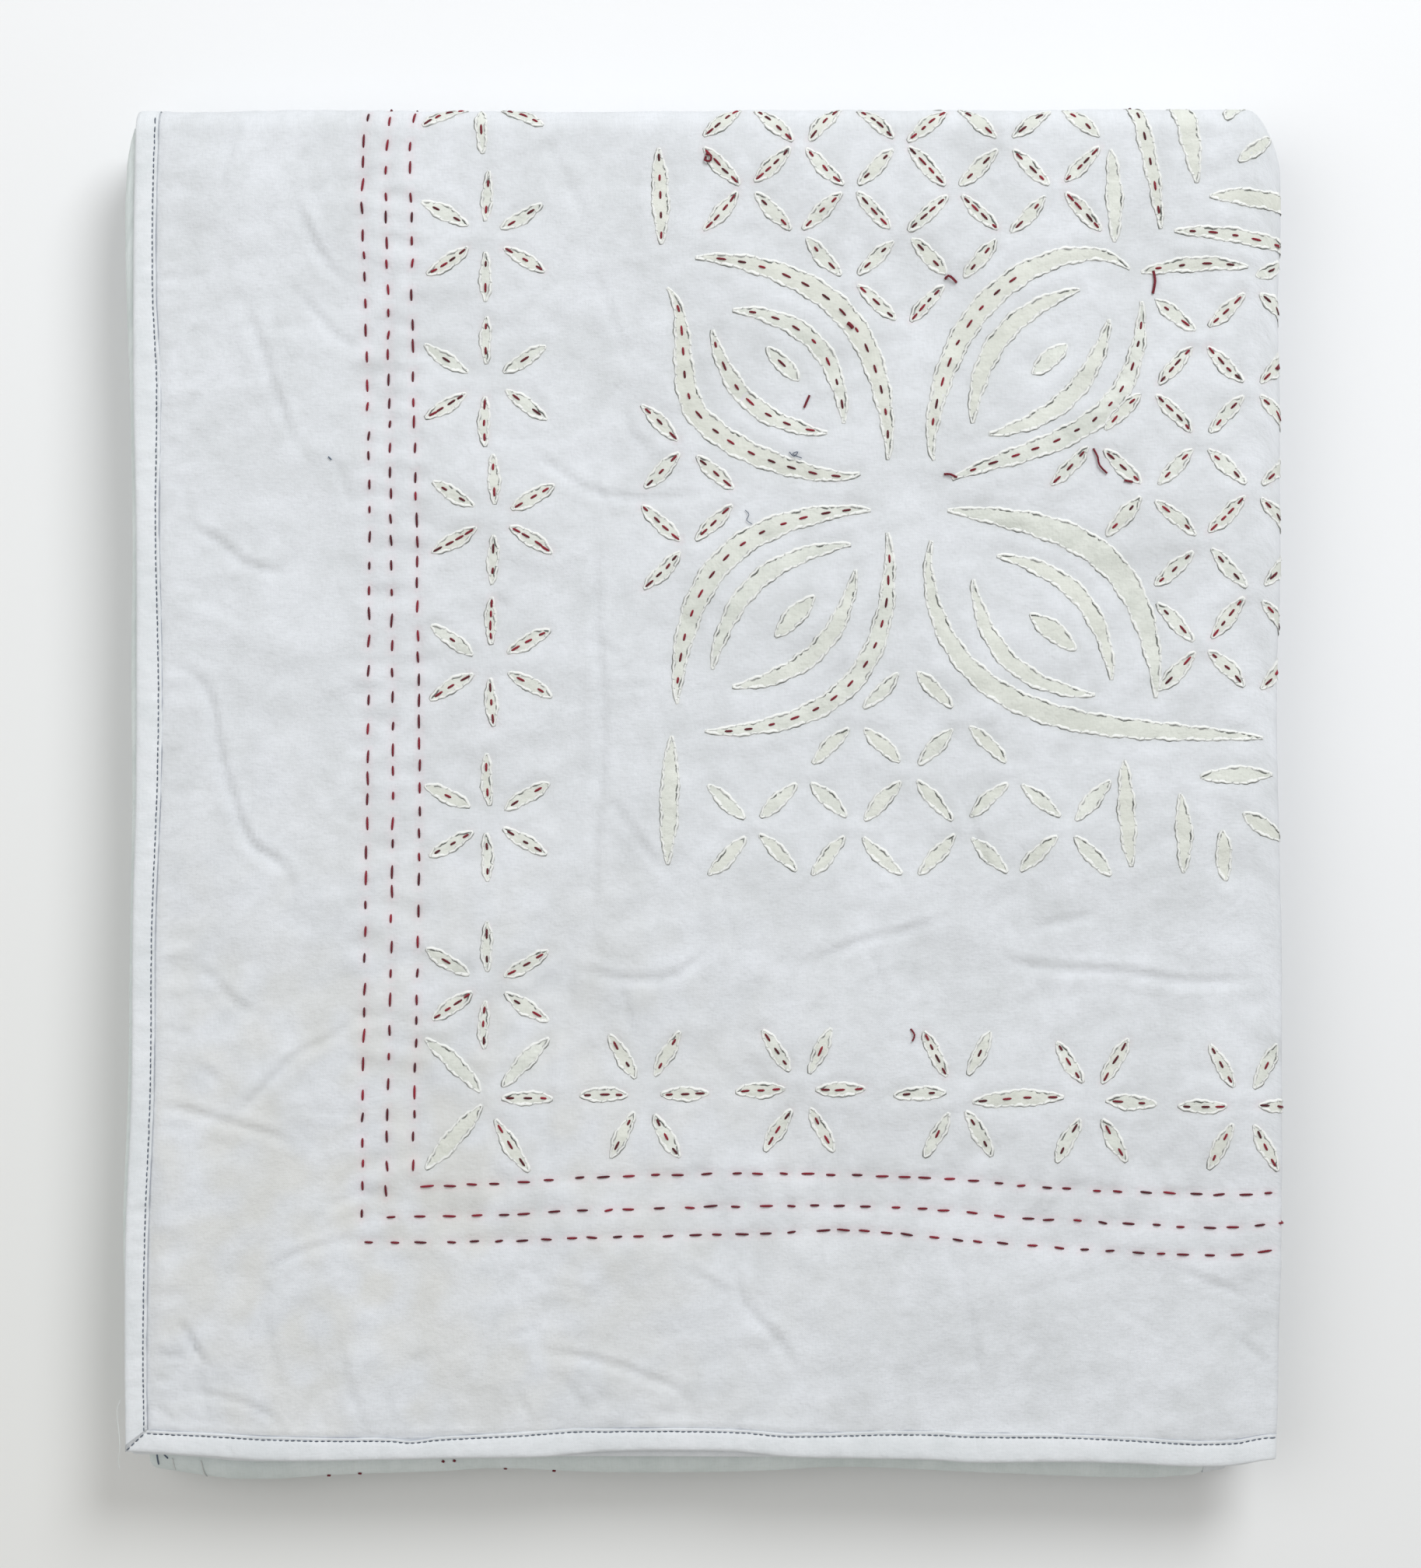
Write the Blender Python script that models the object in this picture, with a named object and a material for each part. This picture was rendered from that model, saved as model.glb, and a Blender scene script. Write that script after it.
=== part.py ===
"""A thin cotton quilt with a narrow bound edge, folded and lying flat.

Metres, +Z up, +X to the viewer's right, +Y away from the viewer, standing on z = 0.

The sheet is folded back and forth in three across its width, and that strip of three layers
is folded back and forth in four along its length.

A point of the sheet is (u, v, s). u runs across the width from the bound left edge of the
uppermost layer, v runs along the length from the bound front edge of the uppermost section,
and s is the height above the middle of the sheet, positive on its face side.
"""

import math

import bmesh
import bpy
import numpy as np

# The sheet and its folds
SHEET = 0.0030
LAYERS = 3
LAYER_GAP = 0.0005
SECTIONS = 4
SECTION_GAP = 0.0008
LAYER_LEG = 0.4960
SECTION_LEG = 0.5800

# The bound edge: a tape folded over the rim of the sheet
TAPE_WIDTH = 0.0110
TAPE_THICK = 0.0005
TAPE_CHAMFER = 0.0006
TAPE_WALL = 0.0010
CLEARANCE = 0.0003
SHOULDER = 0.0004

# Where the folded pile ends, seen from above
FAR_END = 0.3010
TOP_EDGE = -0.2908
BOTTOM_EDGE = -0.2880
LOWER_FAR_END = 0.2975
RIGHT_CORNER = {"start": 0.2390, "reach": 0.0140, "depth": 0.0220}
LEFT_CORNER = {"start": 0.2470, "reach": 0.0060, "depth": 0.0160}

# Front edge of the lower folds, from left to right
FRONT_FOLD_COLUMNS = ("x", "y")
FRONT_FOLD_ROWS = (
    (-0.2450, -0.2955),
    (-0.2150, -0.2996),
    (-0.1955, -0.3010),
    (-0.1640, -0.2988),
    (-0.1130, -0.2970),
    (-0.0900, -0.2956),
    (-0.0450, -0.2975),
    (0.0230, -0.2970),
    (0.0600, -0.2950),
    (0.1260, -0.2977),
    (0.2050, -0.2999),
    (0.2320, -0.2960),
)

# Stations of the mesh
LEG_SHARES = (0.0, 0.030, 0.055, 0.11, 0.20, 0.37, 0.50, 0.63, 0.80, 0.89, 0.945, 0.970, 1.0)
SECTION_SHARES = (0.0, 0.10, 0.35, 0.65, 0.90, 1.0)
LAYER_TURN_STEPS = 4
SECTION_TURN_STEPS = 6
RELIEF_STEP = 0.0130
RELIEF_FADE = 0.0150

# Worked out from the sizes above
HALF_SHEET = SHEET / 2
PINCHED_HALF = HALF_SHEET - TAPE_THICK - CLEARANCE
LAYER_PITCH = SHEET + LAYER_GAP
STRIP = LAYERS * SHEET + (LAYERS - 1) * LAYER_GAP
SECTION_PITCH = STRIP + SECTION_GAP
LAYER_TURN = math.pi * LAYER_PITCH / 2
SECTION_TURN = math.pi * SECTION_PITCH / 2
LAYER_BEND = (LAYER_PITCH + SHEET) / 2
SECTION_BEND = (SECTION_PITCH + STRIP) / 2
WIDTH = LAYERS * LAYER_LEG + (LAYERS - 1) * LAYER_TURN
LENGTH = SECTIONS * SECTION_LEG + (SECTIONS - 1) * SECTION_TURN
RIM_PLACES = (TAPE_WALL + CLEARANCE, TAPE_WIDTH + CLEARANCE, TAPE_WIDTH + CLEARANCE + SHOULDER)

# Side edges and side folds along the strip. place is the section's number plus the share of
# its length, counted from the top section's front edge
SIDE_COLUMNS = ("place", "left_edge", "left_fold", "right_fold", "right_edge")
SIDE_ROWS = (
    (0.00, -0.2510, -0.2490, 0.2490, 0.2440),
    (0.08, -0.2515, -0.2500, 0.2505, 0.2445),
    (0.17, -0.2513, -0.2531, 0.2514, 0.2450),
    (0.28, -0.2489, -0.2511, 0.2518, 0.2450),
    (0.40, -0.2487, -0.2505, 0.2524, 0.2450),
    (0.50, -0.2475, -0.2498, 0.2508, 0.2450),
    (0.60, -0.2475, -0.2505, 0.2510, 0.2450),
    (0.70, -0.2479, -0.2502, 0.2524, 0.2440),
    (0.80, -0.2492, -0.2513, 0.2522, 0.2430),
    (0.90, -0.2495, -0.2532, 0.2520, 0.2400),
    (0.96, -0.2493, -0.2541, 0.2534, 0.2360),
    (1.00, -0.2487, -0.2533, 0.2530, 0.2320),
    (1.50, -0.2440, -0.2480, 0.2470, 0.2380),
    (2.00, -0.2395, -0.2425, 0.2315, 0.2290),
    (2.50, -0.2430, -0.2460, 0.2440, 0.2410),
    (3.00, -0.2460, -0.2490, 0.2480, 0.2320),
    (4.00, -0.2430, -0.2470, 0.2450, 0.2400),
)

# How far the front bound edge lies behind its line. place is the layer's number plus the share
# of its width, counted from the left edge of the top layer
SLIP_COLUMNS = ("place", "slip")
SLIP_ROWS = (
    (0.00, 0.0048),
    (0.045, 0.0036),
    (0.080, 0.0024),
    (0.115, 0.0010),
    (0.150, 0.0008),
    (0.200, 0.0012),
    (0.280, 0.0021),
    (0.360, 0.0028),
    (0.410, 0.0050),
    (0.470, 0.0056),
    (0.530, 0.0050),
    (0.575, 0.0028),
    (0.640, 0.0021),
    (0.700, 0.0015),
    (0.730, 0.0004),
    (0.820, 0.0006),
    (0.880, -0.0004),
    (0.925, -0.0015),
    (0.960, -0.0009),
    (0.990, 0.0016),
    (1.10, 0.0024),
    (1.42, 0.0024),
    (1.60, 0.0026),
    (1.80, 0.0020),
    (1.89, 0.0002),
    (1.96, 0.0030),
    (2.10, 0.0030),
    (3.00, 0.0035),
)
SLIP_FADE = 0.0600

# Broad swells of the pile, as a share of its height
SWELL_COLUMNS = ("x", "y", "wide", "deep", "rise")
SWELL_ROWS = (
    (-0.250, -0.300, 0.120, 0.120, -0.050),
    (0.250, -0.290, 0.100, 0.100, -0.030),
    (0.050, 0.290, 0.280, 0.080, 0.030),
    (0.200, 0.100, 0.120, 0.240, 0.020),
    (-0.100, 0.000, 0.150, 0.200, -0.015),
    (-0.200, 0.200, 0.080, 0.120, 0.020),
)

# Main creases of the top layer, as soft troughs from one point to another
CREASE_COLUMNS = ("x0", "y0", "x1", "y1", "depth", "width")
CREASE_ROWS = (
    (-0.2329, 0.0542, -0.2153, 0.0397, 0.0014, 0.0070),
    (-0.2153, 0.0397, -0.2064, 0.0000, 0.0014, 0.0080),
    (-0.2064, 0.0000, -0.1786, -0.0441, 0.0012, 0.0080),
    (-0.0471, 0.1288, -0.0454, 0.0034, 0.0010, 0.0080),
    (-0.0454, 0.0034, -0.0460, -0.0695, 0.0010, 0.0080),
    (-0.0810, 0.1546, -0.0471, 0.1312, 0.0008, 0.0070),
    (-0.0471, 0.1312, 0.0088, 0.1315, 0.0007, 0.0070),
    (-0.1800, 0.2634, -0.1536, 0.2207, 0.0009, 0.0080),
    (-0.2271, 0.1176, -0.1814, 0.0956, 0.0009, 0.0080),
    (-0.2373, -0.1349, -0.2041, -0.1437, 0.0008, 0.0070),
    (-0.2041, -0.1437, -0.1620, -0.1108, 0.0010, 0.0080),
    (-0.0369, -0.0807, 0.0058, -0.0647, 0.0009, 0.0080),
    (0.1325, -0.0719, 0.2380, -0.0807, 0.0009, 0.0080),
    (0.1092, 0.0075, 0.1254, -0.0397, 0.0008, 0.0070),
    (0.0129, -0.1980, 0.0414, -0.2536, 0.0009, 0.0080),
    (0.1108, -0.2041, 0.1200, -0.2597, 0.0008, 0.0080),
    (-0.0729, -0.2417, -0.0037, -0.2732, 0.0008, 0.0070),
    (0.2061, -0.2071, 0.2359, -0.2190, 0.0008, 0.0070),
    (-0.0678, -0.1017, -0.0678, -0.1797, 0.0008, 0.0080),
)

# Rows of running stitches that draw the sheet in: three up the left side, three near the front
SIDE_STITCH_X = (-0.1471, -0.1373, -0.1264)
FRONT_STITCH_Y = (-0.1678, -0.1807, -0.1932)
STITCH_DEPTH = 0.0005
STITCH_SPREAD = 0.0025


def column(rows, columns, name):
    """One named column of a table."""
    return np.array([row[columns.index(name)] for row in rows])


def curve_through(places, values, place):
    """Smooth curve through a table's values: a cubic from row to row, level at both ends."""
    slopes = np.zeros(len(values))
    slopes[1:-1] = (values[2:] - values[:-2]) / (places[2:] - places[:-2])
    at = np.clip(place, places[0], places[-1])
    row = np.clip(np.searchsorted(places, at, side="right") - 1, 0, len(places) - 2)
    span = places[row + 1] - places[row]
    t = (at - places[row]) / span
    rise = values[row + 1] - values[row]
    ahead = slopes[row] * span - rise
    behind = rise - slopes[row + 1] * span
    return values[row] + rise * t + t * (1 - t) * ((1 - t) * ahead + t * behind)


def smooth(share):
    """Soft step from 0 to 1."""
    t = np.clip(share, 0.0, 1.0)
    return t * t * (3 - 2 * t)


def fold(distance, offset, ends, leg, turn, pitch):
    """Back-and-forth fold of a strip.

    ends holds where each leg starts and stops. Gives the place along the legs, and the height
    above the middle of the lowest leg.
    """
    count = len(ends) - 1
    index = np.clip(distance // (leg + turn), 0, count - 1).astype(int)
    rest = distance - index * (leg + turn)
    share = np.minimum(rest / leg, 1.0)
    angle = np.clip((rest - leg) / turn, 0.0, 1.0) * math.pi
    heading = 1 - 2 * (index % 2)
    start = np.choose(index, ends[:-1])
    stop = np.choose(index, ends[1:])
    radius = pitch / 2 + heading * offset
    place = start + (stop - start) * share + heading * radius * np.sin(angle)
    height = (count - 1 - index) * pitch - pitch / 2 + radius * np.cos(angle)
    return place, height


def strip_place(v):
    """Section number plus the share of its length, at a distance along the strip."""
    pitch = SECTION_LEG + SECTION_TURN
    index = np.clip(v // pitch, 0, SECTIONS - 1)
    return index + np.clip((v - index * pitch) / SECTION_LEG, 0.0, 1.0)


def side_ends(v):
    """Where the layers start, turn and stop from left to right, at a distance along the strip."""
    place = strip_place(v)
    places = column(SIDE_ROWS, SIDE_COLUMNS, "place")
    edges = {
        name: curve_through(places, column(SIDE_ROWS, SIDE_COLUMNS, name), place)
        for name in SIDE_COLUMNS[1:]
    }
    return [
        edges["left_edge"],
        edges["right_fold"] - LAYER_BEND,
        edges["left_fold"] + LAYER_BEND,
        edges["right_edge"],
    ]


def corner_cut(x):
    """How far the far fold draws back at its two rounded corners."""
    cut = np.zeros_like(x)
    for corner, outward in ((RIGHT_CORNER, x), (LEFT_CORNER, -x)):
        share = np.clip((outward - corner["start"]) / corner["reach"], 0.0, 1.0)
        cut += corner["depth"] * share ** 2
    return cut


def section_ends(x):
    """Where the sections start, turn and stop from front to back, at a place across the pile."""
    cut = corner_cut(x)
    places = column(FRONT_FOLD_ROWS, FRONT_FOLD_COLUMNS, "x")
    front = curve_through(places, column(FRONT_FOLD_ROWS, FRONT_FOLD_COLUMNS, "y"), x)
    return [
        np.full_like(x, TOP_EDGE),
        FAR_END - SECTION_BEND - cut,
        front + SECTION_BEND,
        LOWER_FAR_END - SECTION_BEND - cut,
        np.full_like(x, BOTTOM_EDGE),
    ]


def edge_slip(u, v):
    """How far a point near the front bound edge lies behind its line."""
    place = u / (LAYER_LEG + LAYER_TURN)
    places = column(SLIP_ROWS, SLIP_COLUMNS, "place")
    slip = curve_through(places, column(SLIP_ROWS, SLIP_COLUMNS, "slip"), place)
    return slip * smooth(1 - v / SLIP_FADE)


def swell(x, y):
    """Share by which the pile is higher or lower than its mean."""
    rise = np.zeros_like(x)
    for row in SWELL_ROWS:
        at = dict(zip(SWELL_COLUMNS, row))
        away = ((x - at["x"]) / at["wide"]) ** 2 + ((y - at["y"]) / at["deep"]) ** 2
        rise += at["rise"] * np.exp(-away)
    return rise


def folded(u, v, s):
    """World position of points of the sheet."""
    u, v, s = np.broadcast_arrays(*(np.asarray(part, dtype=float) for part in (u, v, s)))
    v = v + edge_slip(u, v)
    x, height = fold(u, s, side_ends(v), LAYER_LEG, LAYER_TURN, LAYER_PITCH)
    offset = height - (LAYERS - 1) * LAYER_PITCH / 2
    y, rise = fold(v, offset, section_ends(x), SECTION_LEG, SECTION_TURN, SECTION_PITCH)
    z = (rise + STRIP / 2) * (1 + swell(x, y))
    return np.stack([x, y, z], axis=-1)


def crease_depth(x, y):
    """Depth of the main creases at points of the top face."""
    depth = np.zeros_like(x)
    for row in CREASE_ROWS:
        at = dict(zip(CREASE_COLUMNS, row))
        run_x = at["x1"] - at["x0"]
        run_y = at["y1"] - at["y0"]
        along = ((x - at["x0"]) * run_x + (y - at["y0"]) * run_y) / (run_x ** 2 + run_y ** 2)
        along = np.clip(along, 0.0, 1.0)
        away_x = x - at["x0"] - along * run_x
        away_y = y - at["y0"] - along * run_y
        trough = at["depth"] * np.exp(-(away_x ** 2 + away_y ** 2) / at["width"] ** 2)
        depth = np.maximum(depth, trough)
    return depth


def stitch_depth(x, y):
    """Depth of the furrows that the rows of running stitches draw in the top face."""
    depth = np.zeros_like(x)
    for row_x in SIDE_STITCH_X:
        ahead = smooth((y - FRONT_STITCH_Y[0]) / STITCH_SPREAD + 1)
        depth += ahead * np.exp(-((x - row_x) / STITCH_SPREAD) ** 2)
    for row_y in FRONT_STITCH_Y:
        beside = smooth((x - SIDE_STITCH_X[-1]) / STITCH_SPREAD + 1)
        depth += beside * np.exp(-((y - row_y) / STITCH_SPREAD) ** 2)
    return STITCH_DEPTH * depth


def distance_to_rim(u, v):
    """Distance from a point of the flat sheet to its nearest edge."""
    return np.minimum(np.minimum(u, WIDTH - u), np.minimum(v, LENGTH - v))


def half_thickness(u, v):
    """Half the sheet's thickness: thin inside the bound edge, full elsewhere."""
    pinched = distance_to_rim(u, v) < TAPE_WIDTH + CLEARANCE + SHOULDER / 2
    return np.where(pinched, PINCHED_HALF, HALF_SHEET)


def fold_stations(leg, turn, count, shares, turn_steps):
    """Places of the mesh lines along a folded strip, with those that carry the bound edge."""
    places = []
    for index in range(count):
        start = index * (leg + turn)
        places += [start + leg * share for share in shares]
        if index < count - 1:
            places += [start + leg + turn * step / turn_steps for step in range(1, turn_steps)]
    total = places[-1]
    far_rim = [total - place for place in reversed(RIM_PLACES)]
    return [*RIM_PLACES, *places[1:-1], *far_rim]


def relief_stations(low, high, kept):
    """Closer mesh lines between two places, through the kept ones."""
    stops = [low + RELIEF_STEP, *kept, high - RELIEF_STEP]
    places = []
    for start, stop in zip(stops, stops[1:]):
        steps = math.ceil((stop - start) / RELIEF_STEP)
        places += [start + (stop - start) * step / steps for step in range(steps)]
    return places + [stops[-1]]


def with_midpoints(places):
    """The places and the points halfway between neighbours."""
    halves = [(near + far) / 2 for near, far in zip(places, places[1:])]
    return sorted([*places, *halves])


def stitched_u():
    """The side rows of running stitches, as distances across the top layer."""
    left, right = (float(end) for end in side_ends(np.array(SECTION_LEG / 2))[:2])
    return [(x - left) / (right - left) * LAYER_LEG for x in with_midpoints(SIDE_STITCH_X)]


def stitched_v():
    """The front rows of running stitches, as distances along the top section."""
    front, back = (float(end) for end in section_ends(np.array(0.0))[:2])
    rows = with_midpoints(sorted(FRONT_STITCH_Y))
    return [(y - front) / (back - front) * SECTION_LEG for y in rows]


def zip_chains(outer, outer_shares, inner, inner_shares):
    """Triangles that fill the strip between two chains of points that run the same way."""
    faces = []
    near = far = 0
    while near < len(outer) - 1 or far < len(inner) - 1:
        inner_done = far == len(inner) - 1
        outer_left = near < len(outer) - 1
        if inner_done or (outer_left and outer_shares[near + 1] <= inner_shares[far + 1]):
            faces.append((outer[near], outer[near + 1], inner[far]))
            near += 1
        else:
            faces.append((outer[near], inner[far + 1], inner[far]))
            far += 1
    return faces


def shares_of(places):
    """Places as shares of the run from the first to the last."""
    return [(place - places[0]) / (places[-1] - places[0]) for place in places]


def border(ids):
    """The four sides of a grid of points, each counter-clockwise from corner to corner."""
    return [list(ids[:, 0]), list(ids[-1, :]), list(ids[::-1, -1]), list(ids[0, ::-1])]


def grid_faces(ids, window=None):
    """Quads of a grid of points, but for those in a window of rows and columns."""
    faces = []
    for i in range(ids.shape[0] - 1):
        for j in range(ids.shape[1] - 1):
            if window and i in window[0] and j in window[1]:
                continue
            faces.append((ids[i, j], ids[i + 1, j], ids[i + 1, j + 1], ids[i, j + 1]))
    return faces


def relief_points(fine_u, fine_v):
    """Points of the top face, with its creases and stitched furrows."""
    grid_u, grid_v = np.meshgrid(fine_u, fine_v, indexing="ij")
    flat = folded(grid_u, grid_v, HALF_SHEET)
    depth = crease_depth(flat[..., 0], flat[..., 1]) + stitch_depth(flat[..., 0], flat[..., 1])
    inward = [grid_u - fine_u[0], fine_u[-1] - grid_u, grid_v - fine_v[0], fine_v[-1] - grid_v]
    fade = smooth(np.minimum.reduce(inward) / RELIEF_FADE)
    flat[..., 2] -= depth * fade
    return flat


def quilt_mesh(stations_u, stations_v):
    """The sheet: a face side, a back, the rim between them, and a closer mesh on the top."""
    grid_u, grid_v = np.meshgrid(stations_u, stations_v, indexing="ij")
    half = half_thickness(grid_u, grid_v)
    face = folded(grid_u, grid_v, half)
    back = folded(grid_u, grid_v, -half)
    count = grid_u.size
    face_ids = np.arange(count).reshape(grid_u.shape)
    back_ids = face_ids + count

    first = len(RIM_PLACES)
    last_u = stations_u.index(LAYER_LEG) - 1
    last_v = stations_v.index(SECTION_LEG)
    outer_ids = face_ids[first:last_u + 1, first:last_v + 1]
    outer_u = stations_u[first:last_u + 1]
    outer_v = stations_v[first:last_v + 1]
    fine_u = relief_stations(outer_u[0], outer_u[-1], stitched_u())
    fine_v = relief_stations(outer_v[0], outer_v[-1], stitched_v())
    relief = relief_points(fine_u, fine_v)
    relief_ids = 2 * count + np.arange(len(fine_u) * len(fine_v)).reshape(relief.shape[:2])

    faces = grid_faces(face_ids, (range(first, last_u), range(first, last_v)))
    faces += [quad[::-1] for quad in grid_faces(back_ids)]
    faces += grid_faces(relief_ids)
    runs = [(outer_u, fine_u), (outer_v, fine_v), (outer_u[::-1], fine_u[::-1]),
            (outer_v[::-1], fine_v[::-1])]
    for outer, inner, (coarse, fine) in zip(border(outer_ids), border(relief_ids), runs):
        faces += zip_chains(outer, shares_of(coarse), inner, shares_of(fine))
    for upper, lower in zip(border(face_ids), border(back_ids)):
        for k in range(len(upper) - 1):
            faces.append((upper[k + 1], upper[k], lower[k], lower[k + 1]))
    points = np.concatenate([part.reshape(-1, 3) for part in (face, back, relief)])
    return points, faces


def rim_loop(stations_u, stations_v, inset):
    """A closed loop of sheet points that runs round the rim at a distance inside it."""
    along_u = [u for u in stations_u if TAPE_WIDTH < u < WIDTH - TAPE_WIDTH]
    along_v = [v for v in stations_v if TAPE_WIDTH < v < LENGTH - TAPE_WIDTH]
    right = WIDTH - inset
    rear = LENGTH - inset
    loop = [(inset, inset)] + [(u, inset) for u in along_u]
    loop += [(right, inset)] + [(right, v) for v in along_v]
    loop += [(right, rear)] + [(u, rear) for u in reversed(along_u)]
    loop += [(inset, rear)] + [(inset, v) for v in reversed(along_v)]
    return loop


def binding_mesh(stations_u, stations_v):
    """The tape round the rim: a channel section with mitred corners."""
    inner = HALF_SHEET - TAPE_THICK
    shoulder = HALF_SHEET - TAPE_CHAMFER
    upper = [(TAPE_WALL, inner), (TAPE_WIDTH, inner), (TAPE_WIDTH, HALF_SHEET),
             (TAPE_CHAMFER, HALF_SHEET), (0.0, shoulder)]
    section = upper + [(inset, -height) for inset, height in reversed(upper)]
    loops = []
    for inset, height in section:
        loop = np.array(rim_loop(stations_u, stations_v, inset))
        loops.append(folded(loop[:, 0], loop[:, 1], height))
    count = len(loops[0])
    faces = []
    for k in range(len(section)):
        near = k * count
        far = (k + 1) % len(section) * count
        for m in range(count):
            after = (m + 1) % count
            faces.append((near + m, near + after, far + after, far + m))
    return np.concatenate(loops), faces


def cloth_material(name, colour, roughness):
    """A matt woven cotton."""
    material = bpy.data.materials.new(name)
    material.use_nodes = True
    surface = material.node_tree.nodes["Principled BSDF"]
    surface.inputs["Base Color"].default_value = (*colour, 1.0)
    surface.inputs["Roughness"].default_value = roughness
    surface.inputs["Metallic"].default_value = 0.0
    return material


def add_piece(name, points, faces, material):
    """A closed mesh object with its faces pointing out."""
    mesh = bpy.data.meshes.new(name)
    mesh.from_pydata(points.tolist(), [], [[int(k) for k in face] for face in faces])
    work = bmesh.new()
    work.from_mesh(mesh)
    bmesh.ops.recalc_face_normals(work, faces=work.faces)
    if work.calc_volume(signed=True) < 0:
        bmesh.ops.reverse_faces(work, faces=work.faces)
    bmesh.ops.triangulate(work, faces=work.faces)
    work.to_mesh(mesh)
    work.free()
    mesh.shade_smooth()
    mesh.set_sharp_from_angle(angle=math.radians(50))
    mesh.materials.append(material)
    piece = bpy.data.objects.new(name, mesh)
    bpy.context.scene.collection.objects.link(piece)
    return piece


def main():
    for old in list(bpy.data.objects):
        bpy.data.objects.remove(old, do_unlink=True)
    stations_u = fold_stations(LAYER_LEG, LAYER_TURN, LAYERS, LEG_SHARES, LAYER_TURN_STEPS)
    stations_v = fold_stations(
        SECTION_LEG, SECTION_TURN, SECTIONS, SECTION_SHARES, SECTION_TURN_STEPS)
    cotton = cloth_material("quilt", (0.72, 0.76, 0.79), 0.92)
    tape = cloth_material("binding", (0.76, 0.80, 0.84), 0.88)
    add_piece("quilt", *quilt_mesh(stations_u, stations_v), cotton)
    add_piece("binding", *binding_mesh(stations_u, stations_v), tape)


main()
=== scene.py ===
"""Looks of a folded cotton quilt with cutwork leaves, in the frame of its CAD model.

Metres, +Z up, +X to the viewer's right, +Y away from the viewer.

Everything sewn on the quilt is laid out on a plan: (x, y, h) is a place on the uppermost layer as
it is seen from above, and a height above its cloth. Beyond the far fold and the right fold the
plan goes on along the cloth, round the fold. to_sheet() turns the plan into places on the flat
sheet, and folded() folds the sheet as the CAD model does.
"""

import math

import bpy
import numpy as np
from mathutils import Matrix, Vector


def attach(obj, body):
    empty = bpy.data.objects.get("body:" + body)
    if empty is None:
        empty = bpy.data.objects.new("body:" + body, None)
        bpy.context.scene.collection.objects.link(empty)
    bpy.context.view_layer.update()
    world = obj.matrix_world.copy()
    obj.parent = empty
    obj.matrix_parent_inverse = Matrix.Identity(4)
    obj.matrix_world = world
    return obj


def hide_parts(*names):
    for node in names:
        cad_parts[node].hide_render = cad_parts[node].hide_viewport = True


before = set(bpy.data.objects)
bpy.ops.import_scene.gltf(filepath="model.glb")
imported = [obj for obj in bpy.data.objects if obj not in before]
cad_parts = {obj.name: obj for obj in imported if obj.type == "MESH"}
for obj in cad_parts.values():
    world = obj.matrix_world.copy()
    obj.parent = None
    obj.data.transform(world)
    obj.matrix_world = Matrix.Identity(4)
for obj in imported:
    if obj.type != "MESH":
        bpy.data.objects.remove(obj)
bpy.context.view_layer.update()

MM = 0.001


class Table:
    """Rows under named columns; where it is read as a curve, the first column is the place."""

    def __init__(self, columns, *rows, unit=None):
        scaled = [[value * unit for value in row] for row in rows] if unit else rows
        self.columns = columns
        self.rows = [dict(zip(columns, row)) for row in scaled]

    def column(self, name):
        return np.array([row[name] for row in self.rows])

    def at(self, name, place):
        """A column's value at a place, on the smooth curve through the rows."""
        return curve_through(self.column(self.columns[0]), self.column(name), place)


# The sheet and its folds, as in the CAD model
SHEET = 0.0030
LAYERS = 3
LAYER_GAP = 0.0005
SECTIONS = 4
SECTION_GAP = 0.0008
LAYER_LEG = 0.4960
SECTION_LEG = 0.5800
FAR_END = 0.3010
TOP_EDGE = -0.2908
BOTTOM_EDGE = -0.2880
LOWER_FAR_END = 0.2975
RIGHT_CORNER = {"start": 0.2390, "reach": 0.0140, "depth": 0.0220}
LEFT_CORNER = {"start": 0.2470, "reach": 0.0060, "depth": 0.0160}
HALF_SHEET = SHEET / 2
PINCHED_HALF = HALF_SHEET - 0.0008
LAYER_PITCH = SHEET + LAYER_GAP
STRIP = LAYERS * SHEET + (LAYERS - 1) * LAYER_GAP
SECTION_PITCH = STRIP + SECTION_GAP
LAYER_TURN = math.pi * LAYER_PITCH / 2
SECTION_TURN = math.pi * SECTION_PITCH / 2
LAYER_BEND = (LAYER_PITCH + SHEET) / 2
SECTION_BEND = (SECTION_PITCH + STRIP) / 2
LAYER_ROUND = math.pi * LAYER_BEND
SECTION_ROUND = math.pi * SECTION_BEND
WIDTH = LAYERS * LAYER_LEG + (LAYERS - 1) * LAYER_TURN
LENGTH = SECTIONS * SECTION_LEG + (SECTIONS - 1) * SECTION_TURN
RIM_PLACES = (0.0013, 0.0098, 0.0102)

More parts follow.
